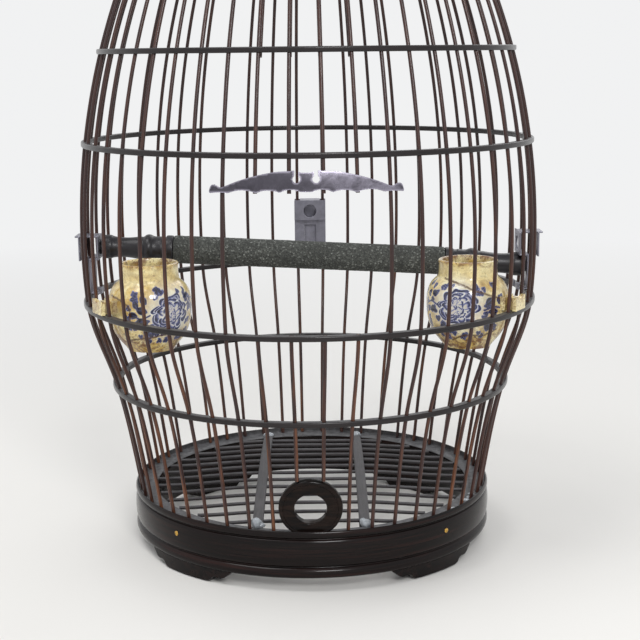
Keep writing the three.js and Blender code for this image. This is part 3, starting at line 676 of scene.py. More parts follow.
def base_wood(recipe, colours):
    """Polished hardwood with grain round the ring, and dust with lint on the ledge."""
    place = recipe.place()
    grain = recipe.drawn(place, (16, 16, 620), 5, 0.62, 0.25)
    broad = recipe.drawn(place, (9, 9, 130), 3, 0.55, 0.4)
    pores = recipe.drawn(place, (120, 120, 2600), 2, 0.5)
    tone = recipe.ramp(grain, (0.33, colours.base_dark), (0.7, colours.base_mid))
    red = recipe.times(recipe.between(broad, 0.5, 0.68, 0.0, 0.85), recipe.between(grain, 0.4, 0.62))
    tone = recipe.mix(red, tone, colours.base_red)
    tone = recipe.mix(recipe.between(pores, 0.62, 0.74, 0.0, 0.5), tone, colours.base_dark)
    fluff = recipe.noise(place, 210, 6, 0.7, 0.6)
    drifts = recipe.noise(place, 46, 3, 0.6)
    dust = recipe.times(recipe.mark("Dust"), recipe.between(drifts, 0.3, 0.52, 0.45, 1.0))
    grey = recipe.ramp(fluff, (0.36, shaded(colours.dust, 0.55)), (0.62, colours.dust))
    tone = recipe.mix(dust, tone, grey)
    rough = recipe.plus(recipe.between(pores, 0.4, 0.75, 0.16, 0.3), recipe.times(dust, 0.6))
    figure = recipe.bump(pores, 0.12, 0.0001)
    lint = recipe.bump(recipe.times(fluff, dust), 0.8, 0.0012, figure)
    return recipe.finish(tone, rough, lint, **POLISHED)


def turned_wood(recipe, colours):
    """Turned black-brown wood: fine rings from the tool under a deep polish."""
    place = recipe.place()
    grain = recipe.drawn(place, (90, 90, 90), 4, 0.6, 1.2)
    streak = recipe.drawn(place, (260, 34, 260), 4, 0.6)
    dark = colours.turned_dark
    brown = shaded(dark, 1.9, (0.006, 0.001, 0))
    tone = recipe.ramp(streak, (0.4, dark), (0.72, brown))
    tone = recipe.mix(recipe.between(grain, 0.5, 0.7, 0.0, 0.35), tone, brown)
    rough = recipe.between(grain, 0.3, 0.7, 0.17, 0.3)
    rings = recipe.bump(streak, 0.15, 0.00012)
    return recipe.finish(tone, rough, rings, **POLISHED)


def turned_ends(recipe, colours):
    """Smooth black lacquer with a bluish cast and faint wiping marks."""
    place = recipe.place()
    wiped = recipe.drawn(place, (30, 160, 160), 4, 0.6, 0.6)
    dark = colours.lacquer
    tone = recipe.ramp(wiped, (0.35, dark), (0.7, shaded(dark, 1.5)))
    rough = recipe.between(wiped, 0.3, 0.7, 0.28, 0.42)
    return recipe.finish(tone, rough, recipe.bump(wiped, 0.05, 0.0002), Specular_IOR_Level=0.45)


def port_wood(recipe, colours):
    """Turned brown-black wood with a wavy figure across its face and a polished rim."""
    place = recipe.place()
    figure = recipe.drawn(place, (42, 90, 260), 4, 0.6, 0.9)
    pores = recipe.drawn(place, (260, 500, 2400), 2, 0.5)
    dark = colours.turned_dark
    tone = recipe.ramp(figure, (0.36, dark), (0.7, colours.port_brown))
    tone = recipe.mix(recipe.between(pores, 0.6, 0.75, 0.0, 0.5), tone, dark)
    rough = recipe.between(figure, 0.3, 0.7, 0.2, 0.32)
    return recipe.finish(tone, rough, recipe.bump(pores, 0.15, 0.0001), **WAXED)


def grating_bamboo(recipe, colours):
    """Unpolished floor rods, greyed by use, paled towards their upper side partly by dust and partly
    by painted light, so that they are darker below.
    """
    wrap = recipe.shifted(recipe.wrap(), recipe.times(recipe.mark("Shade"), 23.0))
    fibres = recipe.drawn(wrap, (60, 2200, 30), 4, 0.65)
    mid = colours.grating_mid
    tone = recipe.ramp(fibres, (0.3, shaded(mid, 0.42)), (0.68, mid))
    # Pales the rods from their underside to their top: partly dust, partly painted light on the upper
    # side
    above = recipe.between(recipe.facing_up(), -0.1, 0.8, 0.0, 0.6)
    patches = recipe.between(recipe.noise(recipe.place(), 75, 4, 0.65), 0.36, 0.6, 0.4, 1.0)
    tone = recipe.mix(recipe.times(above, patches), tone, shaded(colours.dust, 0.8))
    return recipe.finish(tone, 0.62, recipe.bump(fibres, 0.4, 0.0002))


def batten_bamboo(recipe, colours):
    """Pale weathered battens with long fibres and darker patches."""
    place = recipe.place()
    fibres = recipe.drawn(place, (900, 42, 900), 5, 0.65)
    patches = recipe.noise(place, 55, 4, 0.65)
    mid = colours.batten_mid
    tone = recipe.ramp(fibres, (0.32, shaded(mid, 0.6)), (0.62, mid))
    tone = recipe.mix(recipe.between(patches, 0.5, 0.7, 0.0, 0.5), tone, shaded(mid, 0.5))
    return recipe.finish(tone, 0.7, recipe.bump(fibres, 0.4, 0.0003))


def bracket_steel(recipe, colours):
    """Bent sheet with a satin brushed face, smudges and darker handled patches."""
    place = recipe.place()
    brushed = recipe.drawn(place, (1800, 1800, 60), 3, 0.6)
    smudge = recipe.noise(place, 85, 5, 0.65, 0.4)
    steel = colours.steel
    tone = recipe.ramp(smudge, (0.34, shaded(steel, 0.72)), (0.6, steel))
    rough = recipe.plus(
        recipe.between(smudge, 0.3, 0.7, 0.46, 0.3), recipe.between(brushed, 0.3, 0.7, -0.04, 0.06)
    )
    return recipe.finish(tone, rough, recipe.bump(brushed, 0.12, 0.0001), Metallic=0.85)


def plate_metal(recipe, colours):
    """Cast plate with soft mottling and fine scratches, and painted highlights: one that brightens the
    face towards its right-hand half, one along its edges.
    """
    place = recipe.place()
    mottle = recipe.noise(place, 150, 5, 0.65, 0.6)
    pits = recipe.noise(place, 900, 3, 0.6)
    scratch = recipe.drawn(place, (240, 240, 2400), 2, 0.5, 0.8)
    metal = colours.plate
    broad = recipe.noise(place, 24, 3, 0.55)
    tone = recipe.ramp(mottle, (0.32, shaded(metal, 0.62)), (0.62, metal))
    tone = recipe.mix(recipe.between(broad, 0.4, 0.6, 0.6, 0.0), tone, shaded(metal, 0.35))
    # Painted highlight: a brighter copy of the metal, laid mottled over the face towards its
    # right-hand half
    bright = shaded(metal, 3.6)
    rubbed = recipe.times(recipe.mark("Rub"), recipe.between(mottle, 0.35, 0.6, 0.1, 0.6))
    tone = recipe.mix(rubbed, tone, bright)
    # Painted highlight along the plate's outline edges
    worn = recipe.times(recipe.between(recipe.mark("Rim"), 0.25, 0.9), 0.8)
    tone = recipe.mix(worn, tone, bright)
    rough = recipe.plus(
        recipe.between(mottle, 0.3, 0.7, 0.4, 0.22), recipe.between(scratch, 0.55, 0.75, 0.0, 0.12)
    )
    relief = recipe.bump(mottle, 0.25, 0.0003)
    relief = recipe.bump(pits, 0.15, 0.0001, relief)
    return recipe.finish(tone, rough, relief, Metallic=0.95)


def hook_steel(recipe, colours):
    """Polished steel with faint handling marks."""
    place = recipe.place()
    marks = recipe.noise(place, 120, 5, 0.65, 0.5)
    steel = colours.hook
    tone = recipe.ramp(marks, (0.35, shaded(steel, 0.75)), (0.6, steel))
    rough = recipe.between(marks, 0.3, 0.7, 0.3, 0.16)
    return recipe.finish(tone, rough, recipe.bump(marks, 0.06, 0.0002), Metallic=1.0)


def pin_brass(recipe, colours):
    """Brass pin heads, bright with patches of tarnish."""
    tarnish = recipe.noise(recipe.place(), 700, 4, 0.6)
    brass = colours.brass
    tone = recipe.ramp(tarnish, (0.36, shaded(brass, 0.45)), (0.56, brass))
    rough = recipe.between(tarnish, 0.3, 0.7, 0.38, 0.18)
    return recipe.finish(tone, rough, recipe.bump(tarnish, 0.1, 0.0001), Metallic=1.0)


def glue_drop(recipe, colours):
    """Clear hardened glue with cloudy parts."""
    cloud = recipe.noise(recipe.place(), 420, 4, 0.6)
    glue = colours.glue
    tone = recipe.ramp(cloud, (0.35, shaded(glue, 0.7)), (0.65, glue))
    return recipe.finish(tone, 0.12, recipe.bump(cloud, 0.3, 0.0006), Transmission_Weight=0.25)


def perch_grit(recipe, colours):
    """A coat of mineral grains: grey-green, with painted shade in the gaps between them and a few
    bright flecks.
    """
    place = recipe.place()
    grains = recipe.cells(place, 950)
    kinds = recipe.cells(place, 950, output="Color")
    kind = recipe.node("ShaderNodeSeparateColor", {"Color": kinds}).outputs[0]
    broad = recipe.noise(place, 42, 4, 0.6)
    grit = colours.grit
    dark = shaded(grit, 0.42)
    pale = shaded(grit, 3.0)
    tone = recipe.ramp(kind, (0.0, dark), (0.45, grit), (0.84, shaded(grit, 1.5)), (0.93, pale))
    # Painted shade: darker towards each grain's edge, in the gaps between grains
    tone = recipe.mix(recipe.between(grains, 0.3, 0.75, 0.0, 0.6), tone, dark)
    tone = recipe.mix(recipe.between(broad, 0.35, 0.65, 0.0, 0.55), tone, dark)
    rough = recipe.between(kind, 0.93, 0.97, 0.85, 0.3)
    relief = recipe.bump(grains, 0.9, 0.0006)
    return recipe.finish(tone, rough, relief)


def pot_glaze(recipe, colours):
    """Cream glaze mottled with brown over painted cobalt, faintly crackled, stained in places."""
    place = recipe.place()
    glaze, stain = colours.glaze, colours.stain
    clouds = recipe.noise(place, 95, 5, 0.62, 0.4)
    tone = recipe.ramp(
        clouds,
        (0.3, shaded(glaze, 0.5, shaded(stain, 0.2))),
        (0.43, glaze),
        (0.6, colours.glaze_pale),
    )
    tone = recipe.mix(recipe.mark("Pale"), tone, colours.glaze_pale)
    crackle = recipe.cells(place, 330, feature="DISTANCE_TO_EDGE")
    tone = recipe.mix(recipe.between(crackle, 0.01, 0.05, 0.16, 0.0), tone, stain)
    spots = recipe.between(recipe.noise(place, 560, 4, 0.65), 0.57, 0.63)
    blots = recipe.between(recipe.noise(place, 130, 6, 0.72, 0.8), 0.45, 0.58)
    brown = recipe.plus(blots, recipe.times(spots, 1.2))
    brown = recipe.times(brown, recipe.mark("Soil"))
    tone = recipe.mix(recipe.between(brown, 0.0, 0.9, 0.0, 0.92), tone, stain)
    wash = recipe.noise(place, 480, 4, 0.65)
    paint = recipe.times(recipe.mark("Cobalt"), recipe.between(wash, 0.3, 0.55, 0.78, 1.0))
    # The pale wash: petal outlines, and a halo round each bloom that is partly white ground and partly
    # painted reflection
    tone = recipe.mix(recipe.mark("Wash"), tone, srgb(222, 226, 224))
    light = shaded(colours.cobalt, 2.2, (0.16, 0.16, 0.16))
    dark = shaded(colours.cobalt, 0.22)
    shades = recipe.ramp(paint, (0.2, light), (0.55, colours.cobalt), (0.85, dark))
    tone = recipe.mix(recipe.between(paint, 0.05, 0.28, 0.0, 0.96), tone, shades)
    crack = recipe.times(recipe.mark("Crack"), 0.85)
    tone = recipe.mix(crack, tone, shaded(stain, 0.4))
    ripples = recipe.bump(recipe.noise(place, 160, 3, 0.5), 0.12, 0.0006)
    rough = recipe.between(brown, 0.0, 0.8, 0.12, 0.4)
    return recipe.finish(tone, rough, ripples, Coat_Weight=0.5, Coat_Roughness=0.06)


def studio_floor(recipe, colours):
    """Plain pale floor that keeps the shadow and turns into the white surround further out."""
    place = recipe.place()
    soft = recipe.noise(place, 3, 2, 0.5)
    floor = colours.floor
    tone = recipe.ramp(soft, (0.3, shaded(floor, 0.985)), (0.7, floor))
    flat = recipe.node("ShaderNodeBsdfPrincipled", {"Base Color": tone, "Roughness": 0.75})
    white = recipe.node("ShaderNodeEmission", {"Color": SURROUND_WHITE, "Strength": 1.0})
    far = recipe.node("ShaderNodeVectorMath", {0: place}, operation="LENGTH").outputs["Value"]
    share = recipe.times(recipe.between(far, *FLOOR_FADE), seen_directly(recipe))
    both = {"Fac": share, 1: flat.outputs[0], 2: white.outputs[0]}
    return recipe.shown(recipe.node("ShaderNodeMixShader", both), "ShaderNodeOutputMaterial")


def seen_directly(recipe):
    """One for the camera's rays and for those that a polished or clear surface sends on."""
    path = recipe.node("ShaderNodeLightPath").outputs
    polished = recipe.plus(path["Is Glossy Ray"], path["Is Transmission Ray"])
    return recipe.maths(recipe.plus(path["Is Camera Ray"], polished), 1.0, "MINIMUM")


# What the pieces take from the panel and from the frame


def sizes():
    """The sizes on the panel, in metres."""
    return bpy.context.scene.birdcage_sizes


def node_middle(node):
    """The middle of a node's box, in metres."""
    low, high = (np.array(corner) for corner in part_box(node))
    return (low + high) / 2


def node_azimuth(node):
    """The bar place nearest to a node, among the four of the group at the door."""
    middle = node_middle(node)
    azimuth = math.atan2(middle[0], -middle[1])
    return GROUP_AZIMUTHS[np.argmin(np.abs(GROUP_AZIMUTHS - azimuth))]


# Bars, in millimetres

BAR_SIDES = 12
WAVER_PITCHES = (23.0, 8.3, 51.0)
# The gap between a bar's foot and the ledge, and the height above which its points lie closer
FOOT_GAP = 0.4
CLOSE_FROM = 438.0
# How far the bars above the door stand inside the wall, up to where they turn out to the crown
BEHIND_DOOR = 4.3
TURN_OUT = 450.0
# How far the door's bars stop short of their nodes, below and above
DOOR_BAR_GAPS = (0.1, 0.6)
# How far the middle two short bars reach down to the port, and the outer two stop short
PORT_SINK = 2.0
LOWER_BAR_GAP = 0.2


def bent_bar(skin, path, azimuth, number):
    """A round bar along a path in the plane of its azimuth, its radius wandering a little."""
    here = run(path) / MM
    random = np.random.default_rng(number)
    phases = random.uniform(0, TURN, 3)
    waves = [np.sin(here / pitch + phase) for pitch, phase in zip(WAVER_PITCHES, phases)]
    scale = 1 + sizes().bar_waver * sum(waves) / len(waves)
    tangential = (math.cos(azimuth), math.sin(azimuth), 0)
    section = circle(sizes().bar_radius, BAR_SIDES)
    tube(skin, path, tangential, section, scale, marks={"Shade": random.uniform(0, 1)})


def single_bar(path, azimuth, number, name, body, node):
    """A bar that is a piece of its own."""
    skin = Skin()
    bent_bar(skin, path, azimuth, number)
    skin.build(name, body, [split_bamboo], [node])


def wall_bars():
    """Forty-four bars from the ledge to the crown, four to a node."""
    foot = WALL["foot_height"] + FOOT_GAP
    close = np.linspace(CLOSE_FROM + 0.5, dome_top(), 200)
    heights = np.concatenate([np.linspace(foot, CLOSE_FROM, 420), close])
    for group in range(1, 12):
        skin = Skin()
        for place, offset in enumerate(GROUP_AZIMUTHS):
            azimuth = group * 4 * BAR_PITCH + offset
            bent_bar(skin, even(wall_point(heights, azimuth), 120), azimuth, 4 * group + place)
        node = f"wall_bars_{group:02d}"
        skin.build(f"bars_{group:02d}", "cage", [split_bamboo], [node])


def crown_bars():
    """The four fixed bars above the door: inside the hoops, then out again to the crown."""
    skin = Skin()
    low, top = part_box("crown_bars")[0].z / MM, dome_top()
    heights = np.concatenate([np.linspace(low, TURN_OUT, 200), np.linspace(TURN_OUT + 0.2, top, 200)])
    inset = BEHIND_DOOR * (1 - ease(heights, TURN_OUT, top - 3))
    for place, azimuth in enumerate(GROUP_AZIMUTHS):
        bent_bar(skin, even(wall_point(heights, azimuth, inset), 60), azimuth, 60 + place)
    skin.build("bars_above_door", "cage", [split_bamboo], ["crown_bars"])


def side_arc(low, high, azimuth):
    """The arc of the bulging side between two heights, carried on above where the dome starts."""
    rise = (np.array([low, high]) - WALL["bulge_height"]) / WALL["side_radius"]
    lean = np.linspace(*np.arcsin(rise), 80)
    radius = WALL["bulge_radius"] - WALL["side_radius"] * (1 - np.cos(lean))
    height = WALL["bulge_height"] + WALL["side_radius"] * np.sin(lean)
    return around(radius, azimuth, height) * MM


def door_bars():
    """The door's four bars, on one arc, so that they slide through the hoops."""
    below, above = DOOR_BAR_GAPS
    for number in range(1, 5):
        node = f"door_bar_{number:02d}"
        low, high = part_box(node)
        azimuth = node_azimuth(node)
        path = side_arc(low.z / MM + below, high.z / MM - above, azimuth)
        single_bar(path, azimuth, 70 + number, f"lift_bar_{number:02d}", node, node)


def lower_bars():
    """Four short bars below the door; the middle two stop at the port."""
    for number in range(1, 5):
        node = f"lower_bar_{number:02d}"
        low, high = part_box(node)
        azimuth = node_azimuth(node)
        foot = low.z / MM - (PORT_SINK if number in (2, 3) else -LOWER_BAR_GAP)
        path = even(wall_point(np.linspace(foot, high.z / MM, 200), azimuth), 50)
        single_bar(path, azimuth, 80 + number, f"short_bar_{number:02d}", "cage", node)


# Hoops

HOOPS = {
    "hoop_waist": 114.6, "hoop_pot": 172.6, "hoop_door": 281.3, "hoop_upper": 342.3, "hoop_top": 450.0,
}
# The hoop that is tilted square to the wall and plain above the door
TILTED = "hoop_top"
HOOP_ROUNDING = 0.85
# Steps along and across one bar's stretch of a hoop
LONG_STEPS = 8
SHORT_STEPS = 4


def hoop_place(height, tilt, out, along_wall, azimuth):
    """A point of a hoop: out across its width and up its thickness, both turned by its tilt."""
    radius, _ = wall_outline(height)
    radius = radius + out * np.cos(tilt) - along_wall * np.sin(tilt)
    return around(radius, azimuth, height + out * np.sin(tilt) + along_wall * np.cos(tilt)) * MM


def cell_edge(cell, half_face):
    """Out and azimuth of the points round one bar's stretch of a hoop's flat face."""
    azimuth = (cell + np.linspace(0, 1, LONG_STEPS + 1)) * BAR_PITCH
    out = np.linspace(-half_face, half_face, SHORT_STEPS + 1)
    outs = [np.full(LONG_STEPS, half_face), out[:0:-1], np.full(LONG_STEPS, -half_face), out[:-1]]
    ends = np.repeat(azimuth[[0, -1]], SHORT_STEPS)
    azimuths = [azimuth[:0:-1], ends[:SHORT_STEPS], azimuth[:-1], ends[SHORT_STEPS:]]
    return np.concatenate(outs), np.concatenate(azimuths)


def drilled_cell(skin, shell, height, tilt, cell, half):
    """One bar's stretch of a hoop: a flat face above and below, with the bar's hole through."""
    radius, lean = wall_outline(height)
    out, azimuth = cell_edge(cell, half["face"])
    middle = (cell + 0.5) * BAR_PITCH
    turn = TURN / 12 + np.arange(len(out)) * TURN / len(out)
    hole = (sizes().bar_radius + sizes().drill_play) / MM
    slant = float(lean) - tilt
    rims = []
    for level in (-half["thickness"], half["thickness"]):
        rim_out = hole * np.sin(turn) / math.cos(slant) - level * math.tan(slant)
        rim_azimuth = middle + hole * np.cos(turn) / radius
        rim = hoop_place(height, tilt, rim_out, level, rim_azimuth)
        edge = hoop_place(height, tilt, out, level, azimuth)
        pairs = ((edge, rim), (azimuth, rim_azimuth), (out, rim_out))
        face, along, across = (np.stack(pair if level < 0 else pair[::-1]) for pair in pairs)
        places = (along * radius * MM, across * MM)
        uv = [np.pad(values, [(0, 1), (0, 1)], mode="wrap") for values in places]
        skin.grid(face, uv=uv, shell=shell)
        rims.append(rim)
    uv = (np.array([0, 2 * half["thickness"]]) * MM, np.linspace(0, TURN * hole * MM, len(out) + 1))
    skin.grid(np.stack(rims), uv=uv, shell=shell)


def plain_cell(skin, shell, height, tilt, cell, half):
    """A stretch of a hoop without a hole."""
    azimuth = (cell + np.linspace(0, 1, LONG_STEPS + 1)) * BAR_PITCH
    out = np.linspace(half["face"], -half["face"], SHORT_STEPS + 1)
    radius, _ = wall_outline(height)
    for level, rows in ((half["thickness"], out), (-half["thickness"], out[::-1])):
        points = hoop_place(height, tilt, rows[:, None], level, azimuth[None])
        skin.grid(points, closed=(False, False), uv=(rows * MM, azimuth * radius * MM), shell=shell)


def hoop_rim():
    """Half of a hoop's rounded section, from its upper face out and down to its lower one."""
    face = sizes().hoop_width / MM / 2 - HOOP_ROUNDING
    thickness = sizes().hoop_thickness / MM / 2
    angle = np.linspace(0, TURN / 4, 5)
    arc = HOOP_ROUNDING * np.stack([np.sin(angle), np.cos(angle)], axis=1)
    upper = arc + [face, thickness - HOOP_ROUNDING]
    return {"face": face, "thickness": thickness}, np.concatenate([upper, upper[::-1] * [1, -1]])


def hoops():
    """Five hoops in drilled cells, with rounded rims; the smallest one is plain above the door."""
    half, rim = hoop_rim()
    azimuth = np.arange(BAR_COUNT * LONG_STEPS) / LONG_STEPS * BAR_PITCH
    for node, height in HOOPS.items():
        radius, lean = wall_outline(height)
        tilt = float(lean) if node == TILTED else 0.0
        skin = Skin()
        shell = skin.new_shell()
        for cell in range(BAR_COUNT):
            at_door = node == TILTED and min(cell, BAR_COUNT - 1 - cell) < 2
            make = plain_cell if at_door else drilled_cell
            make(skin, shell, height, tilt, cell, half)
        girth = np.linspace(0, TURN * radius * MM, len(azimuth) + 1)
        for side, rows in ((1, rim[::-1]), (-1, rim)):
            points = hoop_place(height, tilt, side * rows[:, :1], rows[:, 1:], azimuth[None])
            down = np.pad(run(rows) * MM, (0, 1), mode="edge")
            uv = np.broadcast_arrays(girth, down[:, None])
            skin.grid(points, uv=uv, shell=shell)
        skin.build(f"{node}_drilled", "cage", [hoop_bamboo], [node], weld=True)


# Base

BASE_PROFILE = [
    (123.4, 9.2), (125.0, 9.3), (126.1, 10.2), (126.6, 11.8), (126.6, 13.4), (126.1, 14.8),
    (125.2, 15.8), (124.4, 16.4), (124.4, 17.0), (125.4, 17.4), (126.1, 18.5), (126.5, 20.9),
    (126.75, 24.2), (126.78, 27.6), (126.55, 31.0), (126.15, 33.5), (125.5, 34.8), (124.6, 35.2),
    (124.5, 35.8), (125.3, 36.2), (126.2, 36.9), (126.5, 38.1), (126.4, 39.6), (125.9, 40.7),
    (125.2, 41.1), (124.7, 40.7), (124.5, 39.6), (124.4, 38.3), (124.2, 37.6), (123.4, 37.5),
    (121.0, 37.45), (118.0, 37.5), (115.0, 37.55), (112.2, 37.5), (111.3, 37.2), (111.0, 36.5),
    (111.0, 32.0), (111.0, 24.0), (111.0, 16.0), (111.0, 11.0), (111.1, 9.7), (111.6, 9.2),
    (115.0, 9.2), (120.0, 9.2),
]
# Dust lies above these heights and inside these radii, and a trace of it below the last height
LEDGE_HEIGHTS = (37.0, 37.35)
LEDGE_RADII = (123.7, 125.3)
BASE_UNDER = 10.1
# Half a foot's lower edge as shares of its half span and its height
FOOT_SHARES = [
    (0, 0), (0.45, 0), (0.54, 0.02), (0.58, 0.2), (0.62, 0.4), (0.68, 0.46), (0.74, 0.4), (0.8, 0.38),
    (0.86, 0.48), (0.9, 0.62), (0.94, 0.78), (0.99, 0.9), (1.0, 0.97),
]
FOOT_HALF_SPAN = 38.0
FOOT_TOP = 9.6
FEET = {
    "foot_front_right": 42, "foot_rear_right": 138, "foot_rear_left": 222, "foot_front_left": 318,
}
# Radii through a foot's depth, and how far its lower edge is drawn up at each
FOOT_DEPTHS = np.array([112.7, 116.5, 121.0, 124.2, 125.6])
FOOT_TUCKS = np.array([0.5, 0.0, 0.0, 0.15, 0.9])
FOOT_STEPS = np.array([0.0, 0.16, 0.5, 0.84, 1.0])[:, None, None]
FOOT_RADIUS = 125.5

# The brass pins: where they stand, then radius as a share of the head's and height above the wood
PIN_AZIMUTHS = (45, 135, 225, 315)
PIN_RADIUS = 126.72
PIN_HEIGHT = 28.0
PIN_DOME = np.array([(1, -0.4), (1, 0.05), (0.9, 0.26), (0.6, 0.42), (0.12, 0.5)])
PIN_DIMPLE = np.array([(1.5, -0.5), (1.45, 0.04), (1.1, 0.1), (0.9, 0.02)])


def seat_at(azimuth, radius, height, lean=0.0):
    """A place with its directions: along the wall, up it, and out of it, for a turned form."""
    out = around(math.cos(lean), azimuth, math.sin(lean))
    across = np.array([math.cos(azimuth), math.sin(azimuth), 0.0])
    place = around(radius, azimuth, height) * MM
    return place, across, np.cross(out, across), out


def base():
    """The turned ring with its ledge and beads, and the heads of the brass pins in it."""
    skin = Skin()
    profile = softened(BASE_PROFILE, 2, closed=True)
    on_ledge = ease(profile[:, 1], *LEDGE_HEIGHTS) * (1 - ease(profile[:, 0], *LEDGE_RADII))
    under = ease(BASE_UNDER - profile[:, 1], 0, 0.8) * 0.25
    ring(skin, profile * MM, 288, marks={"Dust": np.maximum(on_ledge, under)[:, None]})
    skin.build("base_turning", "cage", [base_wood], ["base_ring"])
    scale = [sizes().pin_radius, MM]
    pins = Skin()
    for degrees in PIN_AZIMUTHS:
        seat = seat_at(math.radians(degrees), PIN_RADIUS, PIN_HEIGHT)
        spindle(pins, PIN_DOME * scale, 32, seat)
        spindle(pins, PIN_DIMPLE * scale, 32, seat, finish=1)
    pins.build("base_pins", "cage", [pin_brass, turned_wood], ())


def feet():
    """Cloud-shaped feet: a scalloped lower edge carried through the foot's depth, bent round."""
    right = softened(FOOT_SHARES, 2) * [FOOT_HALF_SPAN, FOOT_TOP]
    half = even(right, 44)
    lower = np.concatenate([half[:0:-1] * [-1, 1], half])
    heights = lower[:, 1] + FOOT_TUCKS[:, None] * (1 - lower[:, 1] / FOOT_TOP)
    for node, degrees in FEET.items():
        azimuth = math.radians(degrees) + lower[:, 0] / FOOT_RADIUS
        under = around(FOOT_DEPTHS[:, None], azimuth[None], heights)
        over = around(FOOT_DEPTHS[:, None], azimuth[None], FOOT_TOP + 0.01)
        faces = [under[::-1], over]
        for line, direction in ((0, 1), (-1, -1)):
            faces.append((under[line] + (over - under)[line] * FOOT_STEPS)[::direction])
        for line, direction in ((0, -1), (-1, 1)):
            faces.append((under[:, line] + (over - under)[:, line] * FOOT_STEPS)[::direction])
        skin = Skin()
        shell = skin.new_shell()
        for face in faces:
            skin.grid(face * MM, closed=(False, False), shell=shell)
        skin.build(f"{node}_carved", "cage", [turned_wood], [node], weld=True)


# Floor

ROD_COUNT = 13
ROD_RADIUS = 1.25
# The outermost rods' distance from the middle, and the radius that the rods' ends reach
ROD_SPREAD = 94.9
ROD_END_RADIUS = 110.7
# Where the rods bend down beside the battens, over what stretch and by how much at the ledge
ROD_BEND = 39.75
ROD_BEND_WIDTH = 6
ROD_DROP = 4
# A rod's sag in millimetres and its waver in thickness, each with its length per radian
ROD_SAG = (0.12, 27)
ROD_WAVER = (0.04, 9)
FLOOR_HEIGHT = 41.3
FLOOR_ARCH = 5.0
FLOOR_REACH = 111.0
BATTENS = {"floor_batten_left": -35.0, "floor_batten_right": 35.0}
BATTEN_REACH = 103.8
BATTEN_WIDTH = 7
BATTEN_THICKNESS = 4.6
BATTEN_ROUNDING = 0.9


def floor_arch(y):
    """Height of the grating's middle line, which arches from front to back."""
    return FLOOR_HEIGHT - FLOOR_ARCH * (y / FLOOR_REACH) ** 2


def floor_rods():
    """Thin rods from side to side, level between the battens and dropping to the ledge."""
    for number in range(ROD_COUNT):
        y = (2 * number / (ROD_COUNT - 1) - 1) * ROD_SPREAD
        end = math.sqrt(ROD_END_RADIUS**2 - (abs(y) + ROD_RADIUS) ** 2)
        x = np.linspace(-end, end, 70)
        random = np.random.default_rng(200 + number)
        sag = ROD_SAG[0] * np.sin(x / ROD_SAG[1] + random.uniform(0, TURN))
        fall = ROD_DROP * ease(np.abs(x), ROD_BEND - ROD_BEND_WIDTH, end)
        z = floor_arch(y) - fall * (end - ROD_BEND) / (FLOOR_REACH - ROD_BEND) + sag
        path = np.stack([x, np.full_like(x, y), z], axis=1) * MM
        waver = 1 + ROD_WAVER[0] * np.sin(x / ROD_WAVER[1] + random.uniform(0, TURN))
        shade = {"Shade": random.uniform(0, 1)}
        skin = Skin()
        tube(skin, path, (0, 1, 0), circle(ROD_RADIUS * MM, BAR_SIDES), waver, marks=shade)
        node = f"floor_rod_{number + 1:02d}"
        skin.build(f"grating_{number + 1:02d}", "cage", [grating_bamboo], [node])


def floor_battens():
    """Two arched flat battens that the rods pass through."""
    section = rounded_block(BATTEN_THICKNESS * MM, BATTEN_WIDTH * MM, BATTEN_ROUNDING * MM)
    y = np.linspace(-BATTEN_REACH, BATTEN_REACH, 70)
    for node, x in BATTENS.items():
        path = np.stack([np.full_like(y, x), y, floor_arch(y)], axis=1) * MM
        skin = Skin()
        tube(skin, path, (1, 0, 0), section)
        skin.build(f"{node}_split", "cage", [batten_bamboo], [node])


# The middle and the three half widths of each drop, in millimetres
GLUE_DROPS = (
    (-35.3, -106.3, 40.2, 3.3, 3.0, 3.6),
    (-32.6, -105.6, 38.7, 2.6, 2.2, 1.8),
    (-36.4, -103.5, 40.0, 2.2, 2.4, 2.9),
    (36.0, -106.0, 39.3, 3.8, 3.2, 2.7),
    (34.0, -103.4, 39.8, 2.4, 2.2, 2.2),
    (35.0, 106.5, 39.3, 4.0, 3.4, 2.2),
    (-35.0, 106.5, 39.3, 4.0, 3.2, 2.2),
    (95.8, -73.6, 37.9, 2.4, 1.1, 0.9),
    (101.6, -65.4, 37.9, 1.2, 1.0, 0.8),
    (106.0, -56.6, 38.0, 2.6, 1.3, 1.1),
    (108.4, -51.0, 38.0, 1.7, 1.2, 1.1),
    (110.8, -43.6, 38.0, 2.2, 1.2, 1.0),
)


def glue_drops():
    """Lumpy drops: an ellipsoid whose radius swells and sinks with its two angles."""
    skin = Skin()
    up = np.linspace(-0.47, 0.47, 12)[:, None] * math.pi
    turn = (np.arange(22) * TURN / 22)[None]
    for number, (x, y, z, *radii) in enumerate(GLUE_DROPS):
        lumps = 1 + 0.13 * np.sin(3 * turn + number) * np.cos(2 * up + number)
        lumps = lumps + 0.07 * np.sin(5 * turn + 2 * number + 4 * up)
        ball = [np.cos(up) * np.cos(turn), np.cos(up) * np.sin(turn), np.sin(up) + 0 * turn]
        points = np.stack(ball, axis=-1) * lumps[..., None] * radii + [x, y, z]
        skin.grid(points * MM, ends=(True, True))
    skin.build("glue_drops", "cage", [glue_drop], (), crease=180)


# Height of the port's middle above the ground, its section as radius and place along its axis
PORT_HEIGHT = 57.4
PORT_PROFILE = [
    (10.3, -2.5), (10.6, -3.0), (18.2, -3.0), (19.3, -2.7), (20.1, -2.0), (20.5, -0.9), (20.5, 0.5),
    (20.3, 1.7), (19.7, 2.6), (18.9, 3.1), (18.2, 3.2), (17.7, 2.9), (17.5, 2.35), (17.2, 2.3),
    (14.0, 2.3), (11.3, 2.45), (10.7, 2.4), (10.35, 2.0), (10.3, 0.0),
]


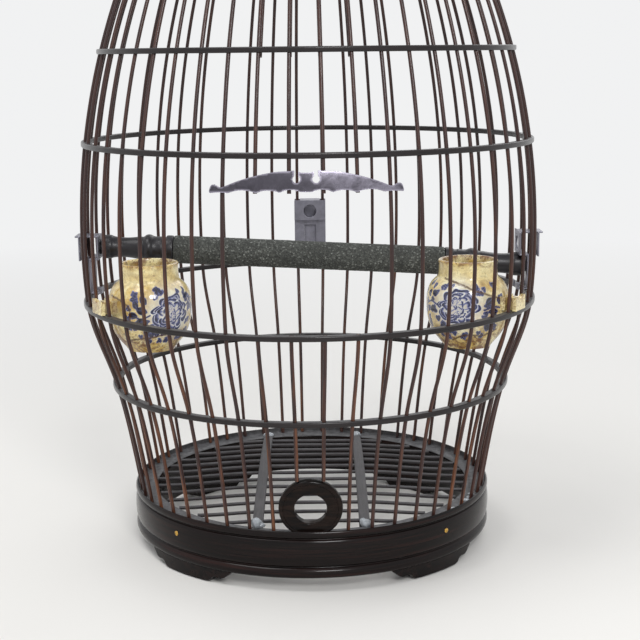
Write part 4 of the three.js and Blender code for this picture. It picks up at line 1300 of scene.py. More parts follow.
def port():
    """The round feeding port: a turned ring with a rounded rim, leaning with the wall."""
    _, lean = wall_outline(PORT_HEIGHT)
    _, across, up, out = seat_at(0.0, 0, 0, float(lean))
    place = node_middle("ring_port") - up * PORT_SINK * MM
    skin = Skin()
    ring(skin, softened(PORT_PROFILE, 2, closed=True) * MM, 144, (place, across, up, out))
    skin.build("port_turning", "cage", [port_wood], ["ring_port"])


# Door plate and brackets

# Half the plate's span along the wall, where its lower edge lies and how high it stands
PLATE_HALF = 58.6
PLATE_LOW = 259.3
PLATE_HIGH = 13.0
# How far its back stands off the wall, how much its face swells, and its lattice's step
PLATE_BACK = 1.75
PLATE_SWELL = 0.35
PLATE_STEP = 1.3
# How far out the scalloped foot runs, as a share of the half span
PLATE_FOOT_REACH = 0.995
# The right half's edges as shares of the half span and the height
PLATE_TOP_SHARES = [
    (0, 0.925), (0.045, 0.922), (0.065, 0.955), (0.078, 0.975), (0.123, 1.03), (0.15, 1.0),
    (0.24, 0.99), (0.32, 0.955), (0.4, 0.9), (0.48, 0.82), (0.56, 0.735), (0.64, 0.63), (0.72, 0.51),
    (0.79, 0.385), (0.845, 0.28), (0.875, 0.25), (0.9, 0.27), (0.925, 0.34), (0.95, 0.39),
    (0.972, 0.36), (0.987, 0.27), (0.996, 0.16), (1.0, 0.07),
]
PLATE_CUSP_SHARES = [
    (0, 0.07), (0.06, 0.08), (0.266, 0.05), (0.505, 0.03), (0.8, 0.01), (0.985, 0.0),
]
PLATE_ARCH_SHARES = (0, 0.115, 0.105, 0.125, 0.03)
KEYHOLE_PLACE = 5.8
KEYHOLE_HEIGHT = 8.3
KEYHOLE_RADIUS = 2.25
KEYHOLE_SLIT = 1.25
# Across the plate, where the painted highlight on its face begins and where it is full
HIGHLIGHT_SPAN = (-12, 38)
BRACKETS = ("bracket_left", "bracket_right", "bracket_rear")
BRACKET_JOIN = 0.005
BRACKET_EDGE = 0.36


def plate_top(across):
    """Height of the plate's upper edge above its foot."""
    smooth = softened(PLATE_TOP_SHARES, 3)
    return np.interp(np.abs(across) / PLATE_HALF, smooth[:, 0], smooth[:, 1]) * PLATE_HIGH


def plate_foot(across):
    """The scalloped lower edge: an arch between each pair of cusps."""
    share = np.abs(across) / PLATE_HALF
    cusps = np.array(PLATE_CUSP_SHARES)
    span = np.clip(np.searchsorted(cusps[:, 0], share, side="right") - 1, 0, len(cusps) - 2)
    start, end = cusps[span], cusps[span + 1]
    way = np.clip((share - start[..., 0]) / (end[..., 0] - start[..., 0]), 0, 1)
    chord = start[..., 1] + (end[..., 1] - start[..., 1]) * way
    arch = np.array(PLATE_ARCH_SHARES)[span] * (1 - (2 * way - 1) ** 2)
    return (chord + arch) * PLATE_HIGH


def plate_outline():
    """Round the plate: the scalloped foot, then the top with its two keyholes cut in."""
    foot_across = np.linspace(-PLATE_HALF * PLATE_FOOT_REACH, PLATE_HALF * PLATE_FOOT_REACH, 190)
    foot = np.stack([foot_across, plate_foot(foot_across)], axis=1)
    gap = math.asin(KEYHOLE_SLIT / KEYHOLE_RADIUS)
    turn = np.linspace(TURN / 4 - gap, gap + TURN / 4 - TURN, 30)
    hole = KEYHOLE_RADIUS * np.stack([np.cos(turn), np.sin(turn)], axis=1)
    hole = hole + [KEYHOLE_PLACE, KEYHOLE_HEIGHT]
    slit = [KEYHOLE_PLACE + KEYHOLE_SLIT, KEYHOLE_PLACE - KEYHOLE_SLIT]
    rise = np.linspace(0, 1, 8)[1:-1, None]
    edges = []
    for across, meet in zip(slit, (hole[0], hole[-1])):
        edges.append(meet + rise * (np.array([across, float(plate_top(across))]) - meet))
    outer = np.linspace(PLATE_HALF, slit[0], 85)
    inner = np.linspace(slit[1], 0, 10)[:-1]
    tops = [np.stack([across, plate_top(across)], axis=1) for across in (outer, inner, np.zeros(1))]
    right = np.concatenate([tops[0], edges[0][::-1], hole, edges[1], tops[1]])
    return np.concatenate([foot, right, tops[2], right[::-1] * [-1, 1]])


def within(points, loop):
    """Whether each point lies in a closed outline: it crosses the outline an odd number of times."""
    start, end = loop, np.roll(loop, -1, axis=0)
    x, y = points[:, None, 0], points[:, None, 1]
    over = (start[None, :, 1] > y) != (end[None, :, 1] > y)
    rise = end[:, 1] - start[:, 1]
    rise = np.where(rise == 0, 1e-12, rise)
    crossing = start[:, 0] + (y - start[:, 1]) * (end[:, 0] - start[:, 0]) / rise
    return (over & (x < crossing)).sum(axis=1) % 2 == 1


def cut_sheet(skin, outline, spacing, laid):
    """A sheet cut to an outline and laid on a surface.

    The outline's inside is split into triangles through a lattice of points. laid(across, up,
    side) gives the point of the surface on the back, side 0, or on the front, side 1.
    """
    low, high = outline.min(axis=0), outline.max(axis=0)
    across = np.arange(low[0] + spacing / 2, high[0], spacing)
    up = np.arange(low[1] + spacing / 2, high[1], spacing)
    lattice = np.stack(np.meshgrid(across, up, indexing="ij"), axis=-1).reshape(-1, 2)
    lattice = lattice[within(lattice, outline)]
    clear = np.min(np.linalg.norm(lattice[:, None] - outline[None], axis=2), axis=1)
    lattice = lattice[clear > spacing * 0.55]
    points = np.concatenate([outline, lattice])
    count = len(outline)
    edges = [(index, (index + 1) % count) for index in range(count)]
    split = geometry.delaunay_2d_cdt([tuple(p) for p in points], edges, [], 0, 1e-7)
    flat = np.array([tuple(p) for p in split[0]])
    triangles = np.array([face for face in split[2] if len(face) == 3])
    triangles = triangles[within(flat[triangles].mean(axis=1), outline)]
    pairs = np.concatenate([triangles[:, [0, 1]], triangles[:, [1, 2]], triangles[:, [2, 0]]])
    known = {tuple(pair) for pair in pairs.tolist()}
    rim = np.array([pair for pair in pairs.tolist() if (pair[1], pair[0]) not in known])
    back, front = (laid(flat[:, 0], flat[:, 1], side) for side in (0, 1))
    far = len(flat)
    walls = np.stack([rim[:, 1], rim[:, 0], rim[:, 0] + far, rim[:, 1] + far], axis=1)
    both = np.concatenate([flat, flat])
    # The outline's points carry a painted highlight along the plate's edges; the second mark is a
    # painted highlight that grows across the face
    rims = np.concatenate([np.arange(far) < count] * 2).astype(float)
    marks = {"Rim": rims, "Rub": ease(both[:, 0], *HIGHLIGHT_SPAN)}
    faces = [triangles[:, ::-1], triangles + far, walls]
    skin.faces(np.concatenate([back, front]) * MM, faces, both * MM, marks)


def door_plate():
    """The bat-shaped plate, bent to the wall, outside the door's four bars."""
    thick = sizes().plate_thickness / MM

    def laid(across, up, side):
        azimuth = across / WALL["bulge_radius"]
        swell = PLATE_SWELL * side * np.clip(1 - (2 * up / PLATE_HIGH - 1) ** 2, 0, 1)
        out = -PLATE_BACK - thick * side - swell + PLATE_SWELL * side
        return wall_point(PLATE_LOW + up, azimuth, out) / MM

    skin = Skin()
    cut_sheet(skin, plate_outline(), PLATE_STEP, laid)
    piece = skin.build("bat_plate", "door_plate", [plate_metal], ["door_plate"])
    edged(piece, sizes().plate_bevel, 2)


def brackets():
    """The bent sheet of the frame's brackets, merged, with its edges and bends softened."""
    for node in BRACKETS:
        copied = bmesh.new()
        copied.from_mesh(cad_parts[node].data)
        bmesh.ops.remove_doubles(copied, verts=copied.verts, dist=BRACKET_JOIN * MM)
        parts = {"verts": copied.verts, "edges": copied.edges}
        bmesh.ops.dissolve_limit(copied, angle_limit=math.radians(1), delimit=set(), **parts)
        mesh = bpy.data.meshes.new(f"{node}_bent")
        copied.to_mesh(mesh)
        copied.free()
        mesh.materials.clear()
        piece = placed(f"{node}_bent", mesh, "cage", [bracket_steel], [node], 30)
        edged(piece, BRACKET_EDGE * MM, 3, 20)


# Perch

# The axis at both tenons' tips, half the grit-coated length, and how far the rod lies above it
PERCH_LEFT = np.array([-146.76, 0, 207.3])
PERCH_RIGHT = np.array([152.26, 0, 191.4])
PERCH_CORE_HALF = 95.0
PERCH_BOW = 1.0
PERCH_ROUNDING = 0.8
GRIT_ROWS = 330
GRIT_COLUMNS = 140
# Side, the turned end's reach from the middle, and the reach of its tenon's tip
PERCH_ENDS = {"perch_end_left": (-1, 143.96, 149.36), "perch_end_right": (1, 149.46, 154.74)}
TENON_RADIUS = 4.2
# A turned end from the rod outwards, as shares of its length and of the rod's radius
PERCH_END_SHARES = [
    (0, 0.9), (0.004, 0.97), (0.02, 0.99), (0.085, 0.99), (0.1, 0.96), (0.108, 0.88), (0.125, 0.85),
    (0.15, 0.85), (0.165, 0.89), (0.24, 0.86), (0.29, 0.89), (0.31, 0.95), (0.34, 1.0), (0.37, 1.0),
    (0.4, 0.95), (0.42, 0.85), (0.44, 0.8), (0.46, 0.82), (0.5, 0.8), (0.62, 0.72), (0.72, 0.7),
    (0.82, 0.73), (0.87, 0.78), (0.885, 0.83), (0.91, 0.85), (0.98, 0.85), (1.0, 0.8),
]


def perch_seat():
    """The perch's middle on the cage's axis and its directions, tilted from bracket to bracket."""
    along = (PERCH_RIGHT - PERCH_LEFT) / np.linalg.norm(PERCH_RIGHT - PERCH_LEFT)
    middle = PERCH_LEFT - along * PERCH_LEFT[0] / along[0]
    deep = np.array([0.0, 1.0, 0.0])
    return middle * MM, np.cross(deep, along), deep, along


def speckle(seed, passes):
    """Random heights from nought to one, averaged with their neighbours on a closed strip."""
    values = np.random.default_rng(seed).uniform(0, 1, (GRIT_ROWS, GRIT_COLUMNS))
    for _ in range(passes):
        for axis in (0, 1):
            values = (np.roll(values, 1, axis) + 2 * values + np.roll(values, -1, axis)) / 4
    low, high = np.percentile(values, [1, 99])
    return np.clip((values - low) / (high - low), 0, 1)


def perch():
    """The grit-coated rod and its two turned ends."""
    place = np.linspace(-PERCH_CORE_HALF, PERCH_CORE_HALF, GRIT_ROWS)
    radius = sizes().perch_radius / MM
    grit = sizes().grit_height / MM
    relief = grit * (0.7 * speckle(5, 1) + 0.6 * speckle(6, 6))
    edge = PERCH_CORE_HALF - np.abs(place)
    rounded = PERCH_ROUNDING * (1 - ease(edge, -0.6, 1.4))
    angle = math.pi + np.arange(GRIT_COLUMNS) * TURN / GRIT_COLUMNS
    points = around(radius - grit - rounded[:, None] + relief, angle[None], place[:, None])
    axis, across, deep, along = perch_seat()
    middle = axis - across * PERCH_BOW * MM
    skin = Skin()
    girth = np.linspace(0, TURN * radius * MM, GRIT_COLUMNS + 1)
    points = middle + points @ np.stack([across, deep, along]) * MM
    skin.grid(points, ends=(True, True), uv=(place * MM, girth))
    skin.build("perch_rod", "perch", [perch_grit], ["perch_core"], crease=60)
    start = PERCH_CORE_HALF + 0.3
    shares = softened(PERCH_END_SHARES, 2)
    for node, (side, reach, tip) in PERCH_ENDS.items():
        face = np.stack([shares[:, 1] * radius, start + shares[:, 0] * (reach - start)], axis=1)
        profile = np.concatenate([[(radius * 0.6, start)], face, [(TENON_RADIUS + 0.4, reach)]])
        skin = Skin()
        spindle(skin, profile * MM, 96, (middle, across, deep, side * along))
        pin = np.array([(0, reach - 1.5), (0, reach + 0.5), (0, tip - 0.7), (-0.5, tip)])
        spindle(skin, (pin + [TENON_RADIUS, 0]) * MM, 48, (axis, across, deep, side * along))
        skin.build(f"{node}_turned", "perch", [turned_ends], [node])


# Pots

# Where the pots hang: to either side of the front, and from the cage's axis and the ground
POT_AZIMUTH = math.radians(60)
POT_CENTRE = 121.592
POT_RADIUS = 27.4
POT_LOW = 147.9
POT_HIGH = 58.0
POT_COLUMNS = 400
# The outside from the foot up, as shares of the radius and the height, and the turned underside
POT_SHARES = [
    (0.56, 0), (0.575, 0.012), (0.62, 0.04), (0.7, 0.085), (0.79, 0.135), (0.87, 0.195),
    (0.93, 0.265), (0.975, 0.35), (0.995, 0.44), (1.0, 0.52), (0.99, 0.6), (0.955, 0.67),
    (0.89, 0.73), (0.81, 0.77), (0.75, 0.793), (0.722, 0.81), (0.71, 0.84), (0.7, 0.9), (0.705, 0.96),
    (0.715, 0.985),
]
POT_BENEATH = np.array([(0.6, 1.8), (12.4, 1.7), (13.2, 0.2), (13.8, 0.0)])

# The lug's section: shares of its half width and heights, with a notch along its top
LUG_LOW = 174.65
LUG_HIGH = 183.9
LUG_NOTCH = ((1, 0), (0.45, 0.3), (0, 1.7), (-0.45, 0.3), (-1, 0))
LUG_TOP = [(share, LUG_HIGH - deep) for share, deep in LUG_NOTCH]
LUG_SECTION = np.array([(-1, LUG_LOW), (1, LUG_LOW), *LUG_TOP])
# From the pot outwards: distance from the cage's axis, half width, drop of the top, paleness
LUG_COURSE = np.array([
    (144.5, 7.3, 0.3, 0.6), (150.9, 7.3, 0.3, 0.8), (151.1, 4.6, 1.2, 0.2), (156.2, 4.6, 1.2, 0.2),
    (156.4, 7.9, 0, 0.9), (159.1, 7.9, 0, 0.9),
])
LUG_EDGE = 0.45

# Reach, number of petals and depth of colour, from the outer petals inwards
BLOOM_LAYERS = (
    (1.0, 8, 0.75), (0.86, 9, 0.6), (0.72, 7, 0.8), (0.58, 8, 0.65), (0.45, 6, 0.8), (0.32, 5, 0.7),
    (0.2, 3, 0.85),
)


def leaf(across, up, base, heading, length, width):
    """An almond: as wide as a half sine along its length, with a paler vein."""
    turn = math.radians(heading)
    x, y = across - base[0], up - base[1]
    along = (x * math.cos(turn) + y * math.sin(turn)) / length
    side = np.abs(y * math.cos(turn) - x * math.sin(turn))
    reach = width / 2 * np.sin(np.pi * np.clip(along, 0, 1)) ** 0.8
    body = np.where((along > 0) & (along < 1), 1 - ease(side - reach, -0.45, 0.2), 0)
    vein = 1 - ease(side, 0.12, 0.5)
    return body * (1 - 0.55 * vein)


def bloom(across, up, centre, size, turn):
    """Layers of petals, each swelling and pinching in radius round a centre of its own.

    A layer is pale inside, cobalt near its rim, and ends in a thin light outline.
    """
    x, y = (across - centre[0]) / size[0], (up - centre[1]) / size[1]
    warp = np.sin(5.3 * x + 3.1 * y + turn), np.sin(4.1 * x - 6.2 * y + 3 * turn)
    x, y = x + 0.07 * warp[0] + 0.03 * np.sin(13 * y), y + 0.07 * warp[1] + 0.03 * np.sin(11 * x)
    paint, lines = np.zeros_like(x), np.zeros_like(x)
    for layer, (reach, petals, tone) in enumerate(BLOOM_LAYERS):
        off = 0.16 * (1 - reach) * np.array([math.cos(4 * layer + turn), math.sin(4 * layer + turn)])
        distance = np.hypot(x - off[0], y - off[1])
        angle = np.arctan2(y - off[1], x - off[0]) + turn + 1.9 * layer
        swell = np.abs(np.cos(angle * petals / 2 + 0.4 * np.sin(2 * angle))) ** 0.6
        edge = reach * (0.78 + 0.22 * swell)
        inside = 1 - ease(distance / edge, 0.97, 1.0)
        rim = ease(distance / edge, 0.74, 0.9)
        gap = ease(distance / edge, 0.91, 0.95)
        seam = (1 - ease(swell, 0.3, 0.55)) * ease(distance / edge, 0.55, 0.8)
        line = np.maximum(gap, seam)
        value = (0.12 + rim * tone + 0.25 * ease(np.sin(9 * angle), 0.5, 1)) * (1 - 0.92 * line)
        paint = paint * (1 - inside) + value * inside
        lines = lines * (1 - inside) + np.maximum(line, 0.5 * (1 - rim)) * inside
    return paint, lines


def sprigs(across, up, bloom_at, size, seed):
    """Small leaves scattered round a bloom, in clusters of three that fan from one point."""
    random = np.random.default_rng(seed)
    painted = np.zeros_like(across)
    for number in range(84):
        angle = number * 2.4 + random.uniform(-0.3, 0.3)
        far = random.uniform(1.06, 2.15)
        x = bloom_at[0] + size[0] * far * math.cos(angle)
        y = bloom_at[1] + size[1] * far * 0.85 * math.sin(angle)
        if not 10 < y < 42:
            continue
        heading = math.degrees(angle) + random.uniform(-70, 70)
        long, width = random.uniform(3.0, 4.8), random.uniform(2.2, 3.4)
        for fan, share in ((-48, 0.75), (0, 1.0), (48, 0.75)):
            shape = leaf(across, up, (x, y), heading + fan, long * share, width * share)
            painted = np.maximum(painted, shape * random.uniform(0.75, 1.0))
    return painted


def stroke(across, up, points, width, waver=0.0, seed=0):
    """A line along a smoothed course, with a wavering width; one on it, nought beside it."""
    course = even(softened(points, 3), 90)
    if waver:
        shift = np.random.default_rng(seed).normal(0, waver, course.shape)
        course = course + (np.roll(shift, 1, axis=0) + shift + np.roll(shift, -1, axis=0)) / 3
    spread = np.full(across.shape, 1e3)
    for x, y in course:
        spread = np.minimum(spread, np.hypot(across - x, up - y))
    return 1 - ease(spread, width * 0.35, width * 0.75)


# Painted forms, in millimetres round the pot from its front and up from its foot
LEFT_POT = {
    "blooms": [((17.5, 27.5), (14.0, 13.5), 0.3)],
    "leaves": [
        ((1.5, 29), 165, 8, 5.4), ((0.5, 24), 200, 8, 5.2), ((2.5, 19.5), 235, 7, 4.6),
        ((1.0, 34), 130, 7, 4.4), ((-5, 26), 165, 7, 4.4), ((-5, 31), 120, 6, 4.0),
        ((-5, 21), 225, 6, 4.0),
    ],
    "vines": [[(3, 27), (-3, 24), (-9, 27), (-15, 24)], [(31, 31), (38, 36), (46, 33)]],
    "cracks": [[(-30, 38), (-16, 36), (-9, 30), (-14, 14)], [(-18, 9), (4, 12), (26, 15), (44, 11)]],
}
RIGHT_POT = {
    "blooms": [((-9.5, 30.0), (15.5, 13.0), 0.1)],
    "leaves": [
        ((9, 32), 30, 7, 4.6), ((11, 27), -5, 8, 4.6), ((8, 21.5), -40, 7, 4.2),
        ((-26, 36), 150, 6, 4.2), ((-27, 28), 195, 6, 4.2), ((-20, 16), 225, 6, 4.0),
    ],
    "vines": [[(8, 28), (16, 30), (23, 28), (30, 31)], [(-24, 30), (-32, 33), (-40, 28)]],
    "cracks": [[(-26, 47), (-8, 44.5), (10, 38), (27, 33)], [(-16, 7), (-4, 12), (8, 10), (20, 14)]],
}


def paint_pot(design, across, up, inner, seed):
    """The values painted on a pot's points: cobalt; a pale wash of petal outlines and of a halo round
    each bloom that is partly white ground and partly painted reflection; cracks, soiling and pale
    glaze.
    """
    cobalt, wash = np.zeros_like(across), np.zeros_like(across)
    for centre, size, turn in design["blooms"]:
        paint, lines = bloom(across, up, centre, size, turn)
        away = np.hypot((across - centre[0]) / size[0], (up - centre[1]) / size[1])
        scattered = sprigs(across, up, centre, size, seed) * ease(away, 0.95, 1.05)
        cobalt = np.maximum(np.maximum(cobalt, paint), scattered)
        # A pale halo round the bloom: partly white ground, partly a painted reflection
        ground = 0.5 * (1 - ease(away, 0.9, 1.75))
        wash = np.maximum(np.maximum(wash, 0.8 * lines), ground)
    for base, heading, long, width in design["leaves"]:
        cobalt = np.maximum(cobalt, leaf(across, up, base, heading, long, width))
    for course in design["vines"]:
        cobalt = np.maximum(cobalt, 0.7 * stroke(across, up, course, 0.9))
    cracks = np.zeros_like(across)
    for number, course in enumerate(design["cracks"]):
        cracks = np.maximum(cracks, stroke(across, up, course, 1.15, 0.25, seed + number))
    lip = ease(up, 0.93 * POT_HIGH, POT_HIGH)
    foot = 1 - ease(up, 0.1 * POT_HIGH, 0.4 * POT_HIGH)
    neck = ease(up, 0.74 * POT_HIGH, 0.82 * POT_HIGH)
    soil = 0.3 + 0.7 * foot + 0.45 * lip + 0.3 * inner
    pale = np.clip(0.55 * neck * (1 - lip), 0, 1)
    outside = 1 - inner
    return {
        "Cobalt": cobalt * outside,
        "Wash": wash * outside,
        "Crack": cracks * outside,
        "Soil": np.clip(soil, 0, 1),
        "Pale": pale * outside,
    }


def pot_profile():
    """A pot's closed section and which of its points lie inside the lip."""
    wall = sizes().pot_wall / MM
    outer = even(softened(np.array(POT_SHARES) * [POT_RADIUS, POT_HIGH], 2), 128)
    lip_turn = np.linspace(0, math.pi, 8)[1:-1]
    lip_place = outer[-1] - [wall / 2, 0]
    lip = lip_place + np.stack([np.cos(lip_turn), 0.55 * np.sin(lip_turn)], axis=1) * wall / 2
    shifted = outer[::-3] - [wall, 0]
    inside = shifted[shifted[:, 1] > wall + 1.2]
    inside = np.concatenate([inside, [(inside[-1][0] - 3, wall + 0.3), (0.6, wall)]])
    profile = np.concatenate([POT_BENEATH, outer, lip, inside])
    return profile, np.arange(len(profile)) >= len(POT_BENEATH) + len(outer) + len(lip) - 3


def pot_lug(node, azimuth):
    """The lug that a pot hangs by: a block, a neck that passes between two bars, a flange."""
    reach, half, drop, pale = LUG_COURSE.T[..., None]
    share, height = LUG_SECTION.T
    _, tangent, _, out = seat_at(azimuth, 0, 0)
    tall = height - drop * (height > LUG_LOW)
    points = reach[..., None] * out + (share * half)[..., None] * tangent
    points = points + tall[..., None] * np.array([0, 0, 1])
    skin = Skin()
    skin.grid(points * MM, ends=(True, True), marks={"Soil": 0.6, "Pale": np.abs(share) * pale})
    piece = skin.build(f"{node}_lug", node, [pot_glaze], [node], crease=25)
    edged(piece, LUG_EDGE * MM, 3, 25)


def pots():
    """Two glazed pots turned from one profile, and the square lug that each one hangs by."""
    profile, is_inner = pot_profile()
    angle = (np.pi + np.arange(POT_COLUMNS) * TURN / POT_COLUMNS + np.pi) % TURN - np.pi
    across = angle[None] * POT_RADIUS + np.zeros((len(profile), 1))
    up = np.broadcast_to(profile[:, 1:], across.shape)
    inner = np.broadcast_to(is_inner[:, None].astype(float), across.shape)
    for node, side, design in (("pot_left", -1, LEFT_POT), ("pot_right", 1, RIGHT_POT)):
        azimuth = side * POT_AZIMUTH
        points = turned(profile, POT_COLUMNS) + around(POT_CENTRE, azimuth, POT_LOW)
        skin = Skin()
        marks = paint_pot(design, across, up, inner, 40 + side)
        skin.grid(points * MM, ends=(True, True), marks=marks)
        skin.build(f"{node}_glazed", node, [pot_glaze], [node], crease=50)
        pot_lug(node, azimuth)


# Crown and hook

# The cap from below, as shares of its radius and its height
CAP_SHARES = np.array([
    (0.13, 0), (0.9, 0), (0.95, 0.03), (0.995, 0.09), (1, 0.14), (0.995, 0.2), (0.95, 0.25),
    (0.93, 0.27), (0.93, 0.3), (0.88, 0.34), (0.78, 0.4), (0.66, 0.45), (0.55, 0.5), (0.47, 0.56),
    (0.42, 0.63), (0.39, 0.71), (0.38, 0.79), (0.4, 0.83), (0.44, 0.87), (0.445, 0.92), (0.42, 0.97),
    (0.38, 1), (0.13, 1),
])
CAP_RADIUS = 28.5
CAP_HEIGHT = 20
CAP_LOW = 490.2
# The other turned forms, as radius and height
DISC_PROFILE = [
    (3.6, 478.3), (16.0, 478.2), (18.6, 478.5), (20.0, 479.5), (20.9, 480.9), (22.3, 481.7),
    (22.8, 482.5), (22.8, 484.6), (22.3, 485.2), (3.6, 485.2),
]
COLLAR_PROFILE = [
    (14, 485.5), (24.4, 485.5), (25, 486.1), (25, 489.3), (24.4, 489.9), (14, 489.9),
]
FERRULE_PROFILE = [
    (3.6, 510.5), (7.2, 510.5), (7.5, 510.9), (7.4, 512.5), (6.4, 513.7), (5.4, 514.7), (3.6, 515.0),
]
BEAD_PROFILE = [
    (2.6, 515.3), (4.2, 515.8), (4.9, 517), (5, 517.8), (4.9, 518.6), (4.2, 519.8), (2.6, 520.3),
]
NUT_PROFILE = [(3.2, 472.9), (5.0, 472.9), (5.6, 473.4), (5.6, 477.4), (5.0, 477.9), (3.2, 477.9)]
# The hook's round: radius, height of its middle and the angles at which it starts and ends
HOOK_RADIUS = 26
HOOK_MIDDLE = 558.3
HOOK_START = math.radians(-52)
HOOK_END = math.radians(205)
# The straight shank, the neck that bends from its top into the round, and the wire's radius
SHANK_HEIGHTS = (471.4, 519.3)
NECK_FOOT = 520.3
NECK_PULL = 9
HOOK_WIRE = 3


def crown():
    """The turned plate, collar and cap that clamp the bars' upper ends."""
    cap = CAP_SHARES * [CAP_RADIUS, CAP_HEIGHT] + [0, CAP_LOW]
    parts = (
        ("crown_disc", DISC_PROFILE, ["crown_plate"]),
        ("crown_turning", cap, ["crown_cap"]),
        ("crown_collar", COLLAR_PROFILE, [f"wall_bars_{group:02d}" for group in range(1, 12)]),
    )
    for name, profile, nodes in parts:
        skin = Skin()
        ring(skin, softened(np.array(profile, float), 1, closed=True) * MM, 128)
        skin.build(name, "cage", [turned_wood], nodes)


def hook():
    """The steel hook on its swivel: shank, bead, neck and open round, with a ferrule and a nut."""
    skin = Skin()
    ring(skin, softened(FERRULE_PROFILE, 1, closed=True) * MM, 64)
    skin.build("hook_washer", "cage", [hook_steel], ["hook_ferrule"])
    angle = np.linspace(HOOK_START, HOOK_END, 90)
    sideways, height = HOOK_RADIUS * np.cos(angle), HOOK_MIDDLE + HOOK_RADIUS * np.sin(angle)
    round_part = np.stack([sideways, 0 * angle, height], axis=1)
    heading = np.array([-math.sin(HOOK_START), 0, math.cos(HOOK_START)])
    foot = np.array([0, 0, NECK_FOOT])
    pulled = foot + [0, 0, NECK_PULL], round_part[0] - NECK_PULL * heading
    handles = [foot, *pulled, round_part[0]]
    share = np.linspace(0, 1, 24)[:-1, None]
    rest = 1 - share
    weights = (rest**3, 3 * share * rest**2, 3 * share**2 * rest, share**3)
    neck = sum(weight * handle for weight, handle in zip(weights, handles))
    shank = np.stack([np.zeros(16), np.zeros(16), np.linspace(*SHANK_HEIGHTS, 16)], axis=1)
    path = even(np.concatenate([shank, neck, round_part]), 190)
    left = run(path)[-1] - run(path)
    scale = np.sqrt(np.clip(1 - (1 - np.clip(left / HOOK_WIRE, 0, 1)) ** 2, 0.02, 1))
    skin = Skin()
    tube(skin, path * MM, (0, 1, 0), circle(HOOK_WIRE * MM, 24), scale)
    spindle(skin, softened(BEAD_PROFILE, 2) * MM, 64)
    skin.build("hook_round", "hook", [hook_steel], ["hook"])
    skin = Skin()
    ring(skin, np.array(NUT_PROFILE) * MM, 6)
    skin.build("hook_nut_turned", "hook", [hook_steel], ["hook_nut"])


# Stage

FLOOR_HALF = 9.0
SKY = (0.95, 0.97, 1.0)
SKY_STRENGTH = 0.62

# Name, place, the height above the origin that it is turned to, size in metres and power in watts
LAMPS = (
    ("Key Lamp", (0.35, -1.75, 1.25), 0.2, 0.55, 20),
    ("Top Lamp", (-0.7, -0.5, 1.9), 0.2, 0.9, 14),
    ("Back Lamp", (0.7, 1.7, 1.6), 0.25, 1.3, 10),
)

# The camera that was fitted to the photograph's hoops
CAMERA_PLACE = (0.0072, -0.958, 0.3405)
CAMERA_DOWN = 11.03
CAMERA_ROLL = -0.61
CAMERA_LENS = 77.3
CAMERA_SENSOR = 36


def stage():
    """A pale floor, a white surround, three broad soft lamps, and the camera of the photograph."""
    mesh = bpy.data.meshes.new("studio_floor")
    corners = [(x * FLOOR_HALF, y * FLOOR_HALF, 0) for x, y in ((-1, -1), (1, -1), (1, 1), (-1, 1))]
    mesh.from_pydata(corners, [], [(0, 1, 2, 3)])
    mesh.materials.append(finish_of(studio_floor))
    ground = linked("studio_floor", mesh)
    bpy.context.scene.world = bpy.data.worlds.new("Studio Surround")
    sky = Recipe(bpy.context.scene.world)
    light = sky.node("ShaderNodeBackground", {"Color": SKY, "Strength": SKY_STRENGTH})
    white = sky.node("ShaderNodeBackground", {"Color": SURROUND_WHITE, "Strength": 1.0})
    both = {"Fac": seen_directly(sky), 1: light.outputs[0], 2: white.outputs[0]}
    sky.shown(sky.node("ShaderNodeMixShader", both), "ShaderNodeOutputWorld")
    for name, place, aim, size, power in LAMPS:
        light = bpy.data.lights.new(name, "AREA")
        light.size = size
        light.energy = power
        lamp = linked(name, light)
        lamp.location = place
        direction = Vector((0, 0, aim)) - Vector(place)
        lamp.rotation_euler = direction.to_track_quat("-Z", "Y").to_euler()
    view = bpy.data.cameras.new("Photograph View")
    view.lens = CAMERA_LENS
    view.sensor_width = CAMERA_SENSOR
    view.clip_start = 0.02
    camera = linked("Photograph View", view)
    pitch, roll = math.radians(90 - CAMERA_DOWN), math.radians(CAMERA_ROLL)
    turn = Matrix.Rotation(pitch, 4, "X") @ Matrix.Rotation(roll, 4, "Z")
    camera.matrix_world = Matrix.Translation(CAMERA_PLACE) @ turn
    bpy.context.scene.camera = camera
    bpy.context.scene.view_settings.view_transform = "Standard"


# Operators


class BIRDCAGE_OT_wall_bars(bpy.types.Operator):
    """The bent bars from the base to the crown."""

    bl_idname = "birdcage.wall_bars"
    bl_label = "Wall Bars"

    def execute(self, context):
        wall_bars()
        return {"FINISHED"}


class BIRDCAGE_OT_crown_bars(bpy.types.Operator):
    """The four fixed bars above the door."""

    bl_idname = "birdcage.crown_bars"
    bl_label = "Bars Above the Door"

    def execute(self, context):
        crown_bars()
        return {"FINISHED"}


class BIRDCAGE_OT_door_bars(bpy.types.Operator):
    """The four bars that lift with the door."""

    bl_idname = "birdcage.door_bars"
    bl_label = "Door Bars"

    def execute(self, context):
        door_bars()
        return {"FINISHED"}


class BIRDCAGE_OT_lower_bars(bpy.types.Operator):
    """The four short bars below the door."""

    bl_idname = "birdcage.lower_bars"
    bl_label = "Short Bars"

    def execute(self, context):
        lower_bars()
        return {"FINISHED"}


class BIRDCAGE_OT_hoops(bpy.types.Operator):
    """The five drilled hoops."""

    bl_idname = "birdcage.hoops"
    bl_label = "Hoops"

    def execute(self, context):
        hoops()
        return {"FINISHED"}


class BIRDCAGE_OT_base(bpy.types.Operator):
    """The turned base ring and its brass pins."""

    bl_idname = "birdcage.base"
    bl_label = "Base Ring"

    def execute(self, context):
        base()
        return {"FINISHED"}


class BIRDCAGE_OT_feet(bpy.types.Operator):
    """The four carved feet."""

    bl_idname = "birdcage.feet"
    bl_label = "Feet"

    def execute(self, context):
        feet()
        return {"FINISHED"}


